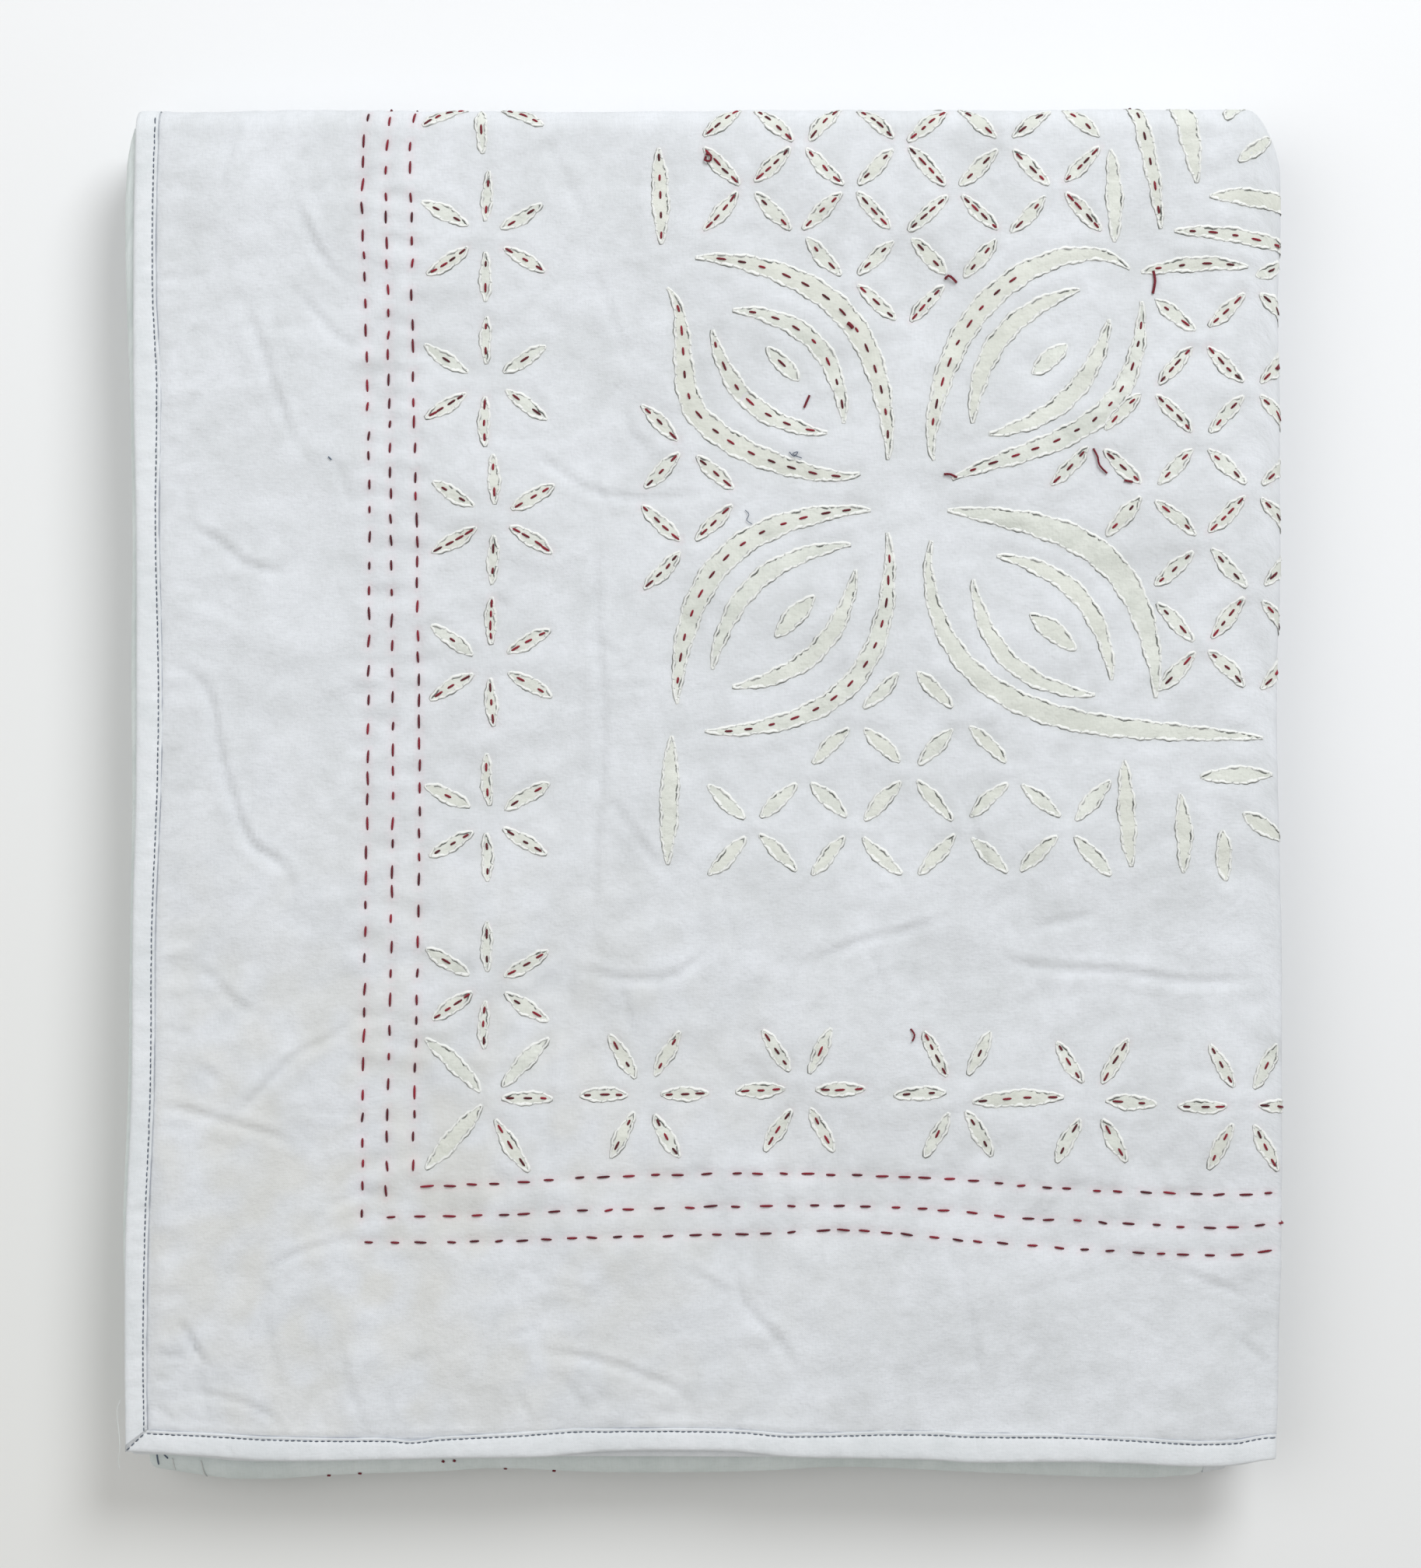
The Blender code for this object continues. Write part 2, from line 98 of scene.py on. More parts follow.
FRONT_FOLD = Table(
    ("x", "y"),
    (-0.2450, -0.2955), (-0.2150, -0.2996), (-0.1955, -0.3010), (-0.1640, -0.2988),
    (-0.1130, -0.2970), (-0.0900, -0.2956), (-0.0450, -0.2975), (0.0230, -0.2970),
    (0.0600, -0.2950), (0.1260, -0.2977), (0.2050, -0.2999), (0.2320, -0.2960),
)
SIDES = Table(
    ("place", "left_edge", "left_fold", "right_fold", "right_edge"),
    (0.00, -0.2510, -0.2490, 0.2490, 0.2440), (0.08, -0.2515, -0.2500, 0.2505, 0.2445),
    (0.17, -0.2513, -0.2531, 0.2514, 0.2450), (0.28, -0.2489, -0.2511, 0.2518, 0.2450),
    (0.40, -0.2487, -0.2505, 0.2524, 0.2450), (0.50, -0.2475, -0.2498, 0.2508, 0.2450),
    (0.60, -0.2475, -0.2505, 0.2510, 0.2450), (0.70, -0.2479, -0.2502, 0.2524, 0.2440),
    (0.80, -0.2492, -0.2513, 0.2522, 0.2430), (0.90, -0.2495, -0.2532, 0.2520, 0.2400),
    (0.96, -0.2493, -0.2541, 0.2534, 0.2360), (1.00, -0.2487, -0.2533, 0.2530, 0.2320),
    (1.50, -0.2440, -0.2480, 0.2470, 0.2380), (2.00, -0.2395, -0.2425, 0.2315, 0.2290),
    (2.50, -0.2430, -0.2460, 0.2440, 0.2410), (3.00, -0.2460, -0.2490, 0.2480, 0.2320),
    (4.00, -0.2430, -0.2470, 0.2450, 0.2400),
)
SLIPS = Table(
    ("place", "slip"),
    (0.00, 0.0048), (0.045, 0.0036), (0.080, 0.0024), (0.115, 0.0010), (0.150, 0.0008),
    (0.200, 0.0012), (0.280, 0.0021), (0.360, 0.0028), (0.410, 0.0050), (0.470, 0.0056),
    (0.530, 0.0050), (0.575, 0.0028), (0.640, 0.0021), (0.700, 0.0015), (0.730, 0.0004),
    (0.820, 0.0006), (0.880, -0.0004), (0.925, -0.0015), (0.960, -0.0009), (0.990, 0.0016),
    (1.10, 0.0024), (1.42, 0.0024), (1.60, 0.0026), (1.80, 0.0020), (1.89, 0.0002),
    (1.96, 0.0030), (2.10, 0.0030), (3.00, 0.0035),
)
SLIP_FADE = 0.0600
SWELLS = Table(
    ("x", "y", "wide", "deep", "rise"),
    (-0.250, -0.300, 0.120, 0.120, -0.050), (0.250, -0.290, 0.100, 0.100, -0.030),
    (0.050, 0.290, 0.280, 0.080, 0.030), (0.200, 0.100, 0.120, 0.240, 0.020),
    (-0.100, 0.000, 0.150, 0.200, -0.015), (-0.200, 0.200, 0.080, 0.120, 0.020),
)

# Mesh lines of the quilt: wide apart where it is hidden, close together on the top
WIDE_SHARES = (0.0, 0.030, 0.070, *(0.115 + 0.0385 * k for k in range(21)), 0.930, 0.970, 1.0)
FINE_STEP = 0.00210
LAYER_TURN_STEPS = 8
SECTION_TURN_STEPS = 12

# The cutwork: the turned edge's section with the share of painted shade, with some soil, on its two
# sides, the way the light falls, which sets the side where that shade is painted, and the sizes of
# stitches and threads
LIP_RISE = 0.00058
LIP = Table(
    ("out", "rise", "outer", "inner"),
    (0.00122, -0.50, 0.40, 0.0), (0.00082, 0.10, 1.00, 0.0), (0.00050, 0.72, 0.45, 0.0),
    (0.00028, 1.00, 0.0, 0.0), (0.00006, 1.00, 0.0, 0.0), (-0.00012, 0.76, 0.0, 0.5),
    (-0.00036, 0.50, 0.0, 1.0), (-0.00064, 0.42, 0.0, 0.7), (-0.00080, -0.10, 0.0, 0.4),
)
UNDERLAY_RISE = 0.00022
FAR_LIGHT = (0.42, 0.91)
HEM_STITCH = 0.0042
SCALLOP = 0.00022
DRIFT = 0.00028
SLIMMEST = 0.00012
RED_THREAD = 0.00052
WHITE_THREAD = 0.00016
SEAM_THREAD = 0.00030
RED_PITCH = 0.0092
RED_ARCH = 0.0007
SEAM_STITCH = 0.0026
SEAM_INSET = 0.0090
CRESCENT_TRIM = 0.0005
BOW_FULLNESS = 0.86

rng = np.random.default_rng(27)


def curve_through(places, values, place):
    """Smooth curve through a table's values: a cubic from row to row, level at both ends."""
    slopes = np.zeros(len(values))
    slopes[1:-1] = (values[2:] - values[:-2]) / (places[2:] - places[:-2])
    at = np.clip(place, places[0], places[-1])
    row = np.clip(np.searchsorted(places, at, side="right") - 1, 0, len(places) - 2)
    span = places[row + 1] - places[row]
    t = (at - places[row]) / span
    rise = values[row + 1] - values[row]
    ahead = slopes[row] * span - rise
    behind = rise - slopes[row + 1] * span
    return values[row] + rise * t + t * (1 - t) * ((1 - t) * ahead + t * behind)


def smooth(share):
    """Soft step from 0 to 1."""
    t = np.clip(share, 0.0, 1.0)
    return t * t * (3 - 2 * t)


def fold(distance, offset, ends, leg, turn, pitch):
    """Back-and-forth fold of a strip: the place along its legs, and the height."""
    count = len(ends) - 1
    index = np.clip(distance // (leg + turn), 0, count - 1).astype(int)
    rest = distance - index * (leg + turn)
    share = np.minimum(rest / leg, 1.0)
    angle = np.clip((rest - leg) / turn, 0.0, 1.0) * math.pi
    heading = 1 - 2 * (index % 2)
    start = np.choose(index, ends[:-1])
    stop = np.choose(index, ends[1:])
    radius = pitch / 2 + heading * offset
    place = start + (stop - start) * share + heading * radius * np.sin(angle)
    height = (count - 1 - index) * pitch - pitch / 2 + radius * np.cos(angle)
    return place, height


def side_ends(v):
    """Where the layers start, turn and stop from left to right, at a distance along the strip."""
    pitch = SECTION_LEG + SECTION_TURN
    index = np.clip(v // pitch, 0, SECTIONS - 1)
    place = index + np.clip((v - index * pitch) / SECTION_LEG, 0.0, 1.0)
    edges = {name: SIDES.at(name, place) for name in SIDES.columns[1:]}
    return [
        edges["left_edge"],
        edges["right_fold"] - LAYER_BEND,
        edges["left_fold"] + LAYER_BEND,
        edges["right_edge"],
    ]


def section_ends(x):
    """Where the sections start, turn and stop from front to back, at a place across the pile."""
    cut = np.zeros_like(x)
    for corner, outward in ((RIGHT_CORNER, x), (LEFT_CORNER, -x)):
        share = np.clip((outward - corner["start"]) / corner["reach"], 0.0, 1.0)
        cut += corner["depth"] * share ** 2
    return [
        np.full_like(x, TOP_EDGE),
        FAR_END - SECTION_BEND - cut,
        FRONT_FOLD.at("y", x) + SECTION_BEND,
        LOWER_FAR_END - SECTION_BEND - cut,
        np.full_like(x, BOTTOM_EDGE),
    ]


def edge_slip(u, v):
    """How far a point near the front bound edge lies behind its line."""
    return SLIPS.at("slip", u / (LAYER_LEG + LAYER_TURN)) * smooth(1 - v / SLIP_FADE)


def swell(x, y):
    """Share by which the pile is higher or lower than its mean."""
    rise = np.zeros_like(x)
    for at in SWELLS.rows:
        away = ((x - at["x"]) / at["wide"]) ** 2 + ((y - at["y"]) / at["deep"]) ** 2
        rise += at["rise"] * np.exp(-away)
    return rise


def folded(u, v, s):
    """World position of points of the sheet."""
    u, v, s = np.broadcast_arrays(*(np.asarray(part, dtype=float) for part in (u, v, s)))
    v = v + edge_slip(u, v)
    x, height = fold(u, s, side_ends(v), LAYER_LEG, LAYER_TURN, LAYER_PITCH)
    offset = height - (LAYERS - 1) * LAYER_PITCH / 2
    y, rise = fold(v, offset, section_ends(x), SECTION_LEG, SECTION_TURN, SECTION_PITCH)
    z = (rise + STRIP / 2) * (1 + swell(x, y))
    return np.stack([x, y, z], axis=-1)


def along_leg(place, start, turn, leg, turn_length, round_length):
    """Distance along the flat sheet of a plan place, round the fold and on beyond it."""
    beyond = np.maximum(place - turn, 0.0)
    on_leg = leg * (np.minimum(place, turn) - start) / (turn - start)
    rounding = np.minimum(beyond, round_length) * turn_length / round_length
    return on_leg + rounding + np.maximum(beyond - round_length, 0.0)


def across_pile(u, v):
    """Place from left to right of flat sheet places of the first layer."""
    left, right = side_ends(v)[:2]
    angle = np.clip((u - LAYER_LEG) / LAYER_TURN, 0.0, 1.0) * math.pi
    return left + (right - left) * np.minimum(u / LAYER_LEG, 1.0) + LAYER_BEND * np.sin(angle)


def to_sheet(x, y, section=0):
    """Flat sheet places of plan places."""
    x, y = np.asarray(x, dtype=float), np.asarray(y, dtype=float)
    across = np.clip(x, -0.249, 0.249)
    for _ in range(4):
        ends = section_ends(across)
        v = along_leg(y, ends[section], ends[section + 1], SECTION_LEG, SECTION_TURN,
                      SECTION_ROUND)
        v = v + section * (SECTION_LEG + SECTION_TURN)
        left, right = side_ends(v)[:2]
        u = along_leg(x, left, right, LAYER_LEG, LAYER_TURN, LAYER_ROUND)
        across = across_pile(u, v)
    return u, v


def to_plan(u, v):
    """Plan places of flat sheet places of the top layer."""
    left, right = side_ends(v)[:2]
    x = left + (right - left) * np.minimum(u / LAYER_LEG, 1.0)
    x = x + np.maximum(u - LAYER_LEG, 0.0) * LAYER_ROUND / LAYER_TURN
    front, back = section_ends(across_pile(u, v))[:2]
    y = front + (back - front) * np.minimum(v / SECTION_LEG, 1.0)
    y = y + np.maximum(v - SECTION_LEG, 0.0) * SECTION_ROUND / SECTION_TURN
    return x, y


def ripple(x, y, wave, seed):
    """Even random waves of about that length, from about -2 to 2."""
    chance = np.random.default_rng(seed)
    total = np.zeros_like(x)
    for _ in range(16):
        angle, phase = chance.uniform(0, 2 * math.pi, 2)
        count = 2 * math.pi / (wave * chance.uniform(0.75, 1.5))
        total += np.sin(count * (x * math.cos(angle) + y * math.sin(angle)) + phase)
    return total / 2.83


def distance_along(points):
    """Running length of a polyline."""
    steps = np.linalg.norm(np.diff(points, axis=0), axis=1)
    return np.concatenate([[0.0], np.cumsum(steps)])


def unit(ways):
    """The same directions at length one."""
    return ways / np.maximum(np.linalg.norm(ways, axis=-1, keepdims=True), 1e-9)


def left_of(ways):
    """Directions a quarter turn to the left on the plan."""
    return np.stack([-ways[..., 1], ways[..., 0]], axis=-1)


def walk(points, places, glance=0.0006):
    """Points of a polyline at distances along it, and the directions there."""
    points = np.asarray(points, dtype=float)
    run = distance_along(points)
    at, ahead, behind = (
        np.stack([np.interp(places + step, run, points[:, k]) for k in range(2)], axis=-1)
        for step in (0.0, glance, -glance)
    )
    return at, unit(ahead - behind)


def in_reach(x, y, line, reach):
    """Which places lie within reach of the box round a line."""
    low, high = line.min(axis=0) - reach, line.max(axis=0) + reach
    return (x > low[0]) & (x < high[0]) & (y > low[1]) & (y < high[1])


def rounded(points, step=0.002):
    """A smooth line through a few points."""
    points = np.asarray(points, dtype=float)
    if len(points) < 3:
        return points
    run = distance_along(points)
    places = np.linspace(0, run[-1], max(3, int(run[-1] / step)))
    return np.stack([curve_through(run, points[:, k], places) for k in range(2)], axis=-1)


# The photograph's pixels, where a crease or a loose thread is placed by them
PIXELS_A_MM = 2.95
PIXEL_CENTRE = (904.0, 1020.0)


def from_pixels(pairs):
    """Plan points of pixel places."""
    return np.array([
        ((x - PIXEL_CENTRE[0]) / PIXELS_A_MM * MM, (PIXEL_CENTRE[1] - y) / PIXELS_A_MM * MM)
        for x, y in pairs
    ])


# Creases: depth and width in millimetres, and a line of pixel places
CREASES = Table(
    ("depth", "width", "line"),
    (1.3, 3.0, ((217, 860), (247, 864), (269, 903), (278, 955), (295, 1020), (321, 1085),
                (369, 1120), (377, 1172))),
    (0.9, 3.0, ((765, 640), (765, 708), (767, 825), (773, 885), (771, 1007), (765, 1072),
                (763, 1137), (760, 1202), (773, 1228))),
    (0.6, 2.4, ((769, 825), (799, 846))),
    (0.7, 2.6, ((773, 1016), (799, 1050), (834, 1098), (856, 1128))),
    (0.5, 2.4, ((773, 885), (843, 883))),
    (0.8, 2.8, ((665, 564), (708, 598), (765, 633), (843, 640), (930, 632))),
    (0.6, 2.4, ((804, 520), (808, 555), (834, 577))),
    (0.6, 2.4, ((752, 581), (773, 642), (795, 668))),
    (0.6, 3.0, ((700, 173), (760, 295))),
    (0.5, 2.6, ((765, 347), (804, 455))),
    (0.8, 2.8, ((730, 1241), (795, 1258), (869, 1254), (921, 1211))),
    (0.7, 2.6, ((1034, 1241), (1120, 1206), (1164, 1198), (1224, 1176))),
    (0.6, 2.4, ((925, 1128), (943, 1219))),
    (0.7, 2.6, ((795, 1258), (817, 1340))),
    (0.6, 2.4, ((739, 1224), (721, 1340))),
    (0.5, 3.0, ((645, 1090), (645, 1230))),
    (0.5, 3.0, ((704, 1320), (704, 1550))),
    (0.6, 2.4, ((1120, 1224), (1142, 1289))),
    (0.8, 2.6, ((1226, 998), (1256, 1080), (1274, 1137))),
    (0.9, 2.8, ((1278, 1193), (1295, 1232), (1352, 1245), (1443, 1250), (1530, 1263),
                (1634, 1258))),
    (0.6, 2.4, ((1330, 1193), (1408, 1176))),
    (1.0, 2.8, ((234, 673), (278, 695), (312, 725), (369, 738))),
    (0.8, 2.6, ((252, 1241), (304, 1285))),
    (1.0, 2.6, ((204, 1418), (250, 1430), (302, 1445), (340, 1455), (379, 1470))),
    (0.9, 2.6, ((300, 1440), (340, 1400), (379, 1359), (425, 1335), (467, 1306))),
    (1.1, 2.2, ((228, 1688), (250, 1726), (272, 1762))),
    (0.7, 2.2, ((207, 1742), (240, 1744))),
    (0.9, 2.2, ((252, 1792), (290, 1798), (317, 1804), (340, 1812), (363, 1836))),
    (0.8, 2.0, ((194, 1799), (225, 1835))),
    (0.6, 2.2, ((194, 1767), (222, 1781))),
    (0.7, 2.6, ((245, 1700), (262, 1790), (266, 1836))),
    (0.6, 2.8, ((338, 1660), (350, 1730), (366, 1800))),
    (0.7, 2.6, ((432, 1700), (446, 1770), (470, 1834))),
    (0.6, 2.4, ((400, 1690), (406, 1760))),
    (0.6, 2.4, ((494, 1790), (516, 1840))),
    (0.7, 2.4, ((661, 1780), (684, 1832))),
    (0.7, 2.2, ((650, 1717), (692, 1706))),
    (0.6, 2.2, ((425, 1549), (460, 1538))),
    (0.8, 2.4, ((346, 1630), (401, 1604), (467, 1591))),
    (0.7, 2.4, ((256, 1368), (284, 1392))),
    (0.7, 2.6, ((280, 1276), (328, 1304))),
    (0.6, 2.4, ((205, 1322), (250, 1330))),
    (0.8, 2.8, ((689, 1733), (778, 1751), (840, 1777), (875, 1795), (893, 1826))),
    (0.9, 2.8, ((942, 1604), (955, 1675), (999, 1719), (1026, 1768))),
    (0.6, 2.4, ((720, 1764), (755, 1822))),
    (0.6, 2.4, ((884, 1631), (946, 1666))),
    (0.9, 2.8, ((1231, 1622), (1249, 1719), (1258, 1786))),
    (0.8, 2.6, ((1512, 1631), (1600, 1666))),
    (0.7, 2.4, ((1582, 1711), (1639, 1764))),
    (0.7, 2.6, ((304, 147), (278, 243))),
    (0.9, 2.8, ((373, 243), (412, 330), (451, 369))),
    (0.9, 2.8, ((312, 382), (343, 477), (377, 572), (390, 581))),
    (0.8, 2.6, ((369, 360), (434, 434), (464, 451))),
    (0.6, 2.4, ((425, 585), (442, 624), (451, 650))),
)

# Rows of red running stitches, as lines of plan places in millimetres
RED_ROWS = (
    ((-146.6, 322.0), (-146.6, 296.0), (-148.1, 291.0), (-149.2, 266.0), (-149.5, 258.0),
     (-148.3, 237.0), (-147.8, 213.0), (-147.1, 181.0), (-145.8, 115.0), (-146.8, -30.0),
     (-148.5, -188.0)),
    ((-137.2, 322.0), (-137.2, 295.0), (-138.6, 282.0), (-139.1, 273.0), (-138.6, 255.0),
     (-138.4, 230.0), (-137.6, 214.0), (-137.8, 199.0), (-136.3, 115.0), (-135.3, -30.0),
     (-138.0, -176.0)),
    ((-126.4, 322.0), (-126.4, 297.0), (-128.0, 288.0), (-128.5, 280.0), (-128.1, 265.0),
     (-127.2, 245.0), (-127.5, 221.0), (-127.0, 202.0), (-126.8, 184.0), (-125.1, 115.0),
     (-123.7, -30.0), (-126.4, -169.5)),
    ((-125.1, -171.5), (-103.1, -170.2), (-38.6, -166.4), (32.5, -165.4), (107.1, -167.5),
     (145.4, -170.8), (186.1, -173.2), (240.3, -174.2), (258.0, -171.2)),
    ((-138.3, -184.1), (-103.1, -183.7), (-45.4, -181.0), (25.8, -179.3), (59.7, -179.3),
     (101.7, -180.7), (143.1, -184.7), (190.5, -187.1), (229.2, -188.8), (258.0, -185.1)),
    ((-149.2, -195.3), (-103.1, -194.9), (-38.6, -192.5), (22.4, -191.5), (63.1, -189.8),
     (101.7, -192.9), (136.3, -195.9), (190.5, -199.7), (226.8, -200.7), (258.0, -197.3)),
)

# Crescents, in millimetres: base, tip, bulge to the left of that way, where it is greatest, width,
# from and to where the red stitches run, and how lean the bow is before and after its peak.
# Peaks and stitches are shares of the length.
CRESCENTS = Table(
    ("x0", "y0", "x1", "y1", "bulge", "peak", "width", "red_from", "red_to", "before", "after"),
    (80.7, 146.1, -3.1, 234.2, -30.2, 0.50, 9.8, 0.04, 0.96),
    (68.1, 139.7, -15.6, 221.0, 30.7, 0.56, 9.5, 0.04, 0.96, 0.60, 1.90),
    (61.4, 162.0, 13.2, 211.2, -15.7, 0.50, 7.6, 0.04, 0.96),
    (53.9, 157.6, 4.1, 202.4, 12.2, 0.50, 7.4, 0.04, 0.96),
    (100.7, 145.8, 186.4, 229.5, 33.2, 0.56, 9.4, 0.08, 0.66, 0.60, 0.48),
    (109.0, 137.5, 191.5, 214.9, -23.6, 0.60, 8.6, 0.04, 0.96),
    (117.6, 162.0, 164.4, 220.3, 13.7, 0.50, 8.1, 0.0, 0.0),
    (125.1, 156.9, 177.3, 207.1, -12.2, 0.50, 7.8, 0.0, 0.0),
    (72.9, 123.7, -11.2, 39.3, -29.9, 0.50, 10.0, 0.04, 0.96),
    (80.5, 113.6, 1.0, 27.3, 32.6, 0.50, 8.2, 0.04, 0.96),
    (64.1, 108.6, 4.1, 54.4, -15.3, 0.50, 7.5, 0.0, 0.0),
    (66.3, 97.3, 13.1, 46.6, 13.8, 0.50, 7.6, 0.0, 0.0),
    (99.7, 110.2, 243.7, 24.1, -41.5, 0.36, 9.2, 0.0, 0.0, 1.05, 1.05),
    (107.0, 123.7, 197.3, 42.0, 30.2, 0.54, 11.2, 0.0, 0.0),
    (128.5, 103.7, 178.0, 49.8, 14.4, 0.50, 7.3, 0.0, 0.0),
    (118.0, 93.2, 170.5, 43.1, -14.9, 0.50, 7.0, 0.0, 0.0),
    (200.3, 247.5, 181.7, 325.0, -2.5, 0.50, 6.2, 0.04, 0.96),
    (215.9, 267.8, 202.0, 325.4, -2.0, 0.50, 9.0, 0.0, 0.0),
    (222.0, 261.5, 266.4, 252.5, 3.0, 0.50, 7.5, 0.0, 0.0),
    (206.4, 246.2, 266.4, 233.9, 3.5, 0.50, 5.8, 0.04, 0.96),
    (191.9, 228.1, 238.0, 230.5, 2.5, 0.50, 5.8, 0.04, 0.96),
)

# Single leaves, in millimetres and degrees: middle, length, width, lean, and how many red stitches
LEAF_COLUMNS = ("x", "y", "length", "width", "lean", "reds")
LEAVES = Table(
    LEAF_COLUMNS,
    (35.3, 187.8, 19.5, 5.8, -47, 2),
    (150.8, 190.2, 19.5, 6.6, 46, 0),
    (40.2, 77.3, 23.0, 7.4, 45, 0),
    (152.2, 71.3, 24.0, 7.0, -43, 0),
    (233.2, 303.4, 20.0, 6.0, 60, 0),
    (241.4, 282.0, 17.0, 5.6, 35, 0),
    (248.8, 228.8, 12.0, 5.0, 20, 1),
    (-20.0, 260.7, 43.0, 6.5, 90, 5),
    (179.3, 261.4, 41.0, 5.6, 90, 0),
    (-14.9, -3.1, 53.0, 6.5, 90, 0),
    (184.7, -8.8, 45.0, 6.0, 90, 0),
    (207.8, -16.9, 33.0, 6.0, 90, 0),
    (226.8, -27.1, 22.0, 6.0, 90, 0),
    (232.5, 7.5, 31.0, 6.0, 0, 0),
    (243.1, -13.2, 20.0, 6.0, -30, 0),
    (137.6, -132.2, 40.7, 6.4, 0, 5),
)

# Lattices of leaves that lean one way and the other in turn, in millimetres. rises says which
# leaves lean to the right: those where column plus row is even, 0, or odd, 1
LATTICES = Table(
    ("x", "y", "step_x", "step_y", "rises", "reds", "rows"),
    (8.0, 294.3, 22.5, -19.9, 0, 3,
     ((-1, 0, 7), (0, 0, 7), (1, 0, 7), (2, 0, 7), (3, 2, 5), (4, 3, 4))),
    (206.1, 210.5, 22.7, -22.4, 1, 3,
     ((0, 0, 2), (1, 0, 2), (2, -1, 2), (3, -2, 2), (4, -1, 2), (5, 0, 2), (6, 0, 2), (7, 0, 2))),
    (-18.3, 162.7, 23.4, -22.0, 1, 3, ((0, 0, 0), (1, 0, 1), (2, 0, 1), (3, 0, 0))),
    (9.5, 45.1, 22.9, -24.1, 1, 0, ((0, 3, 4), (1, 2, 5), (2, 0, 7), (3, 0, 7))),
)
LATTICE_LEAF = (21.5, 5.3)

# Stars of six petals, in millimetres and degrees: the upright ones up the left side and the level
# ones near the front. Two petals make way for one long leaf between their stars. The star in the
# corner has larger leaves of its own.
STAR_PETAL = (21.0, 5.2)
SLIM_PETAL = 0.74
UPRIGHT_STARS = ((-96.4, 308.8), (-95.6, 243.4), (-94.9, 180.0), (-91.7, 120.3), (-92.3, 57.1),
                 (-93.9, -11.2), (-93.9, -83.1))
LEVEL_STARS = ((-25.4, -130.8), (42.0, -129.2), (110.8, -130.8), (168.5, -134.2),
               (234.9, -135.9))
PETAL_COLUMNS = ("lean", "away", "reds")
UPRIGHT_PETALS = Table(PETAL_COLUMNS, (90, 17.6, 3), (31, 19.8, 2), (-31, 19.8, 3),
                       (-90, 17.6, 2), (211, 19.8, 3), (149, 19.8, 2))
LEVEL_PETALS = Table(PETAL_COLUMNS, (0, 17.6, 3), (61, 20.0, 2), (119, 20.0, 3),
                     (180, 17.6, 3), (241, 20.0, 2), (299, 20.0, 3))
PETALS_LEFT_OUT = ((110.8, 0), (168.5, 180))
CORNER_LEAVES = Table(
    LEAF_COLUMNS,
    (-108.3, -118.9, 33.0, 6.4, -45, 0),
    (-76.9, -116.3, 28.0, 5.8, 47, 0),
    (-109.0, -149.4, 38.0, 6.6, 48, 0),
    (-82.5, -152.4, 25.8, 5.6, -57, 3),
    (-77.0, -132.9, 21.0, 5.2, 0, 3),
)


class Opening:
    """One cutwork opening: the line of its middle, its two edges and its red stitches."""

    def __init__(self, spine, width, reds):
        self.spine = spine
        self.width = width
        self.reds = reds
        run = distance_along(spine)
        self.length = run[-1]
        count = max(12, int(self.length / 0.0010))
        places = self.length * (1 - np.cos(np.linspace(0, math.pi, count))) / 2
        places = 0.65 * np.linspace(0, self.length, count) + 0.35 * places
        self.line, self.way = walk(spine, places)
        self.side = left_of(self.way)
        share = places / self.length
        swell_to = np.clip(4 * share * (1 - share), 0.0, 1.0) ** 0.78
        self.half = [self._edge(places, swell_to) for _ in range(2)]
        self.tone = rng.uniform(-1, 1)

    def _edge(self, places, swell_to):
        """Half-width along one edge, with the soft scallops between its hem stitches."""
        phase = rng.uniform(0, 2 * math.pi)
        scallop = SCALLOP * np.sin(2 * math.pi * places / HEM_STITCH + phase)
        drift = DRIFT * np.sin(2 * math.pi * places / rng.uniform(0.012, 0.02) + 2 * phase)
        half = self.width / 2 * swell_to + (scallop + drift) * np.minimum(swell_to * 1.5, 1.0)
        return np.maximum(half, SLIMMEST)

    def point(self, share):
        """Points across the opening at a share of its half-width, left positive."""
        half = self.half[0] if share >= 0 else self.half[1]
        return self.line + self.side * (share * half)[:, None]

    def outline(self):
        """The edge as a closed line, counter-clockwise."""
        return np.concatenate([self.point(-1.0), self.point(1.0)[::-1]])


def bowed_line(start, tip, bulge, peak, before=BOW_FULLNESS, after=BOW_FULLNESS):
    """A line that bows to its left by the bulge, most at the peak, fuller before or after it."""
    start, tip = np.array(start), np.array(tip)
    reach = np.linalg.norm(tip - start)
    ahead = (tip - start) / reach
    share = np.linspace(0, 1, 90)
    power = math.log(0.5) / math.log(peak)
    fullness = np.where(share < peak, before, after)
    bow = bulge * np.sin(math.pi * share ** power).clip(0.0) ** fullness
    return start + ahead * (share * reach)[:, None] + left_of(ahead) * bow[:, None]


def leaf_line(x, y, length, lean):
    """A nearly straight line through a middle point."""
    angle = math.radians(lean)
    half = np.array([math.cos(angle), math.sin(angle)]) * length / 2
    middle = np.array([x, y])
    return bowed_line(middle - half, middle + half, rng.normal(0, 0.018) * length, 0.5)


def jittered_leaf(x, y, length, width, lean, reds):
    """A leaf cut and sewn by hand, never quite like its neighbour."""
    long = length * rng.uniform(0.95, 1.05) * MM
    wide = width * rng.uniform(0.92, 1.10) * MM
    at_x, at_y = (x + rng.normal(0, 0.5)) * MM, (y + rng.normal(0, 0.5)) * MM
    line = leaf_line(at_x, at_y, long, lean + rng.normal(0, 2.5))
    count = 0 if reds == 0 else int(np.clip(reds + rng.integers(-1, 2), 1, 6))
    return Opening(line, wide, (count, 0.0, 1.0))


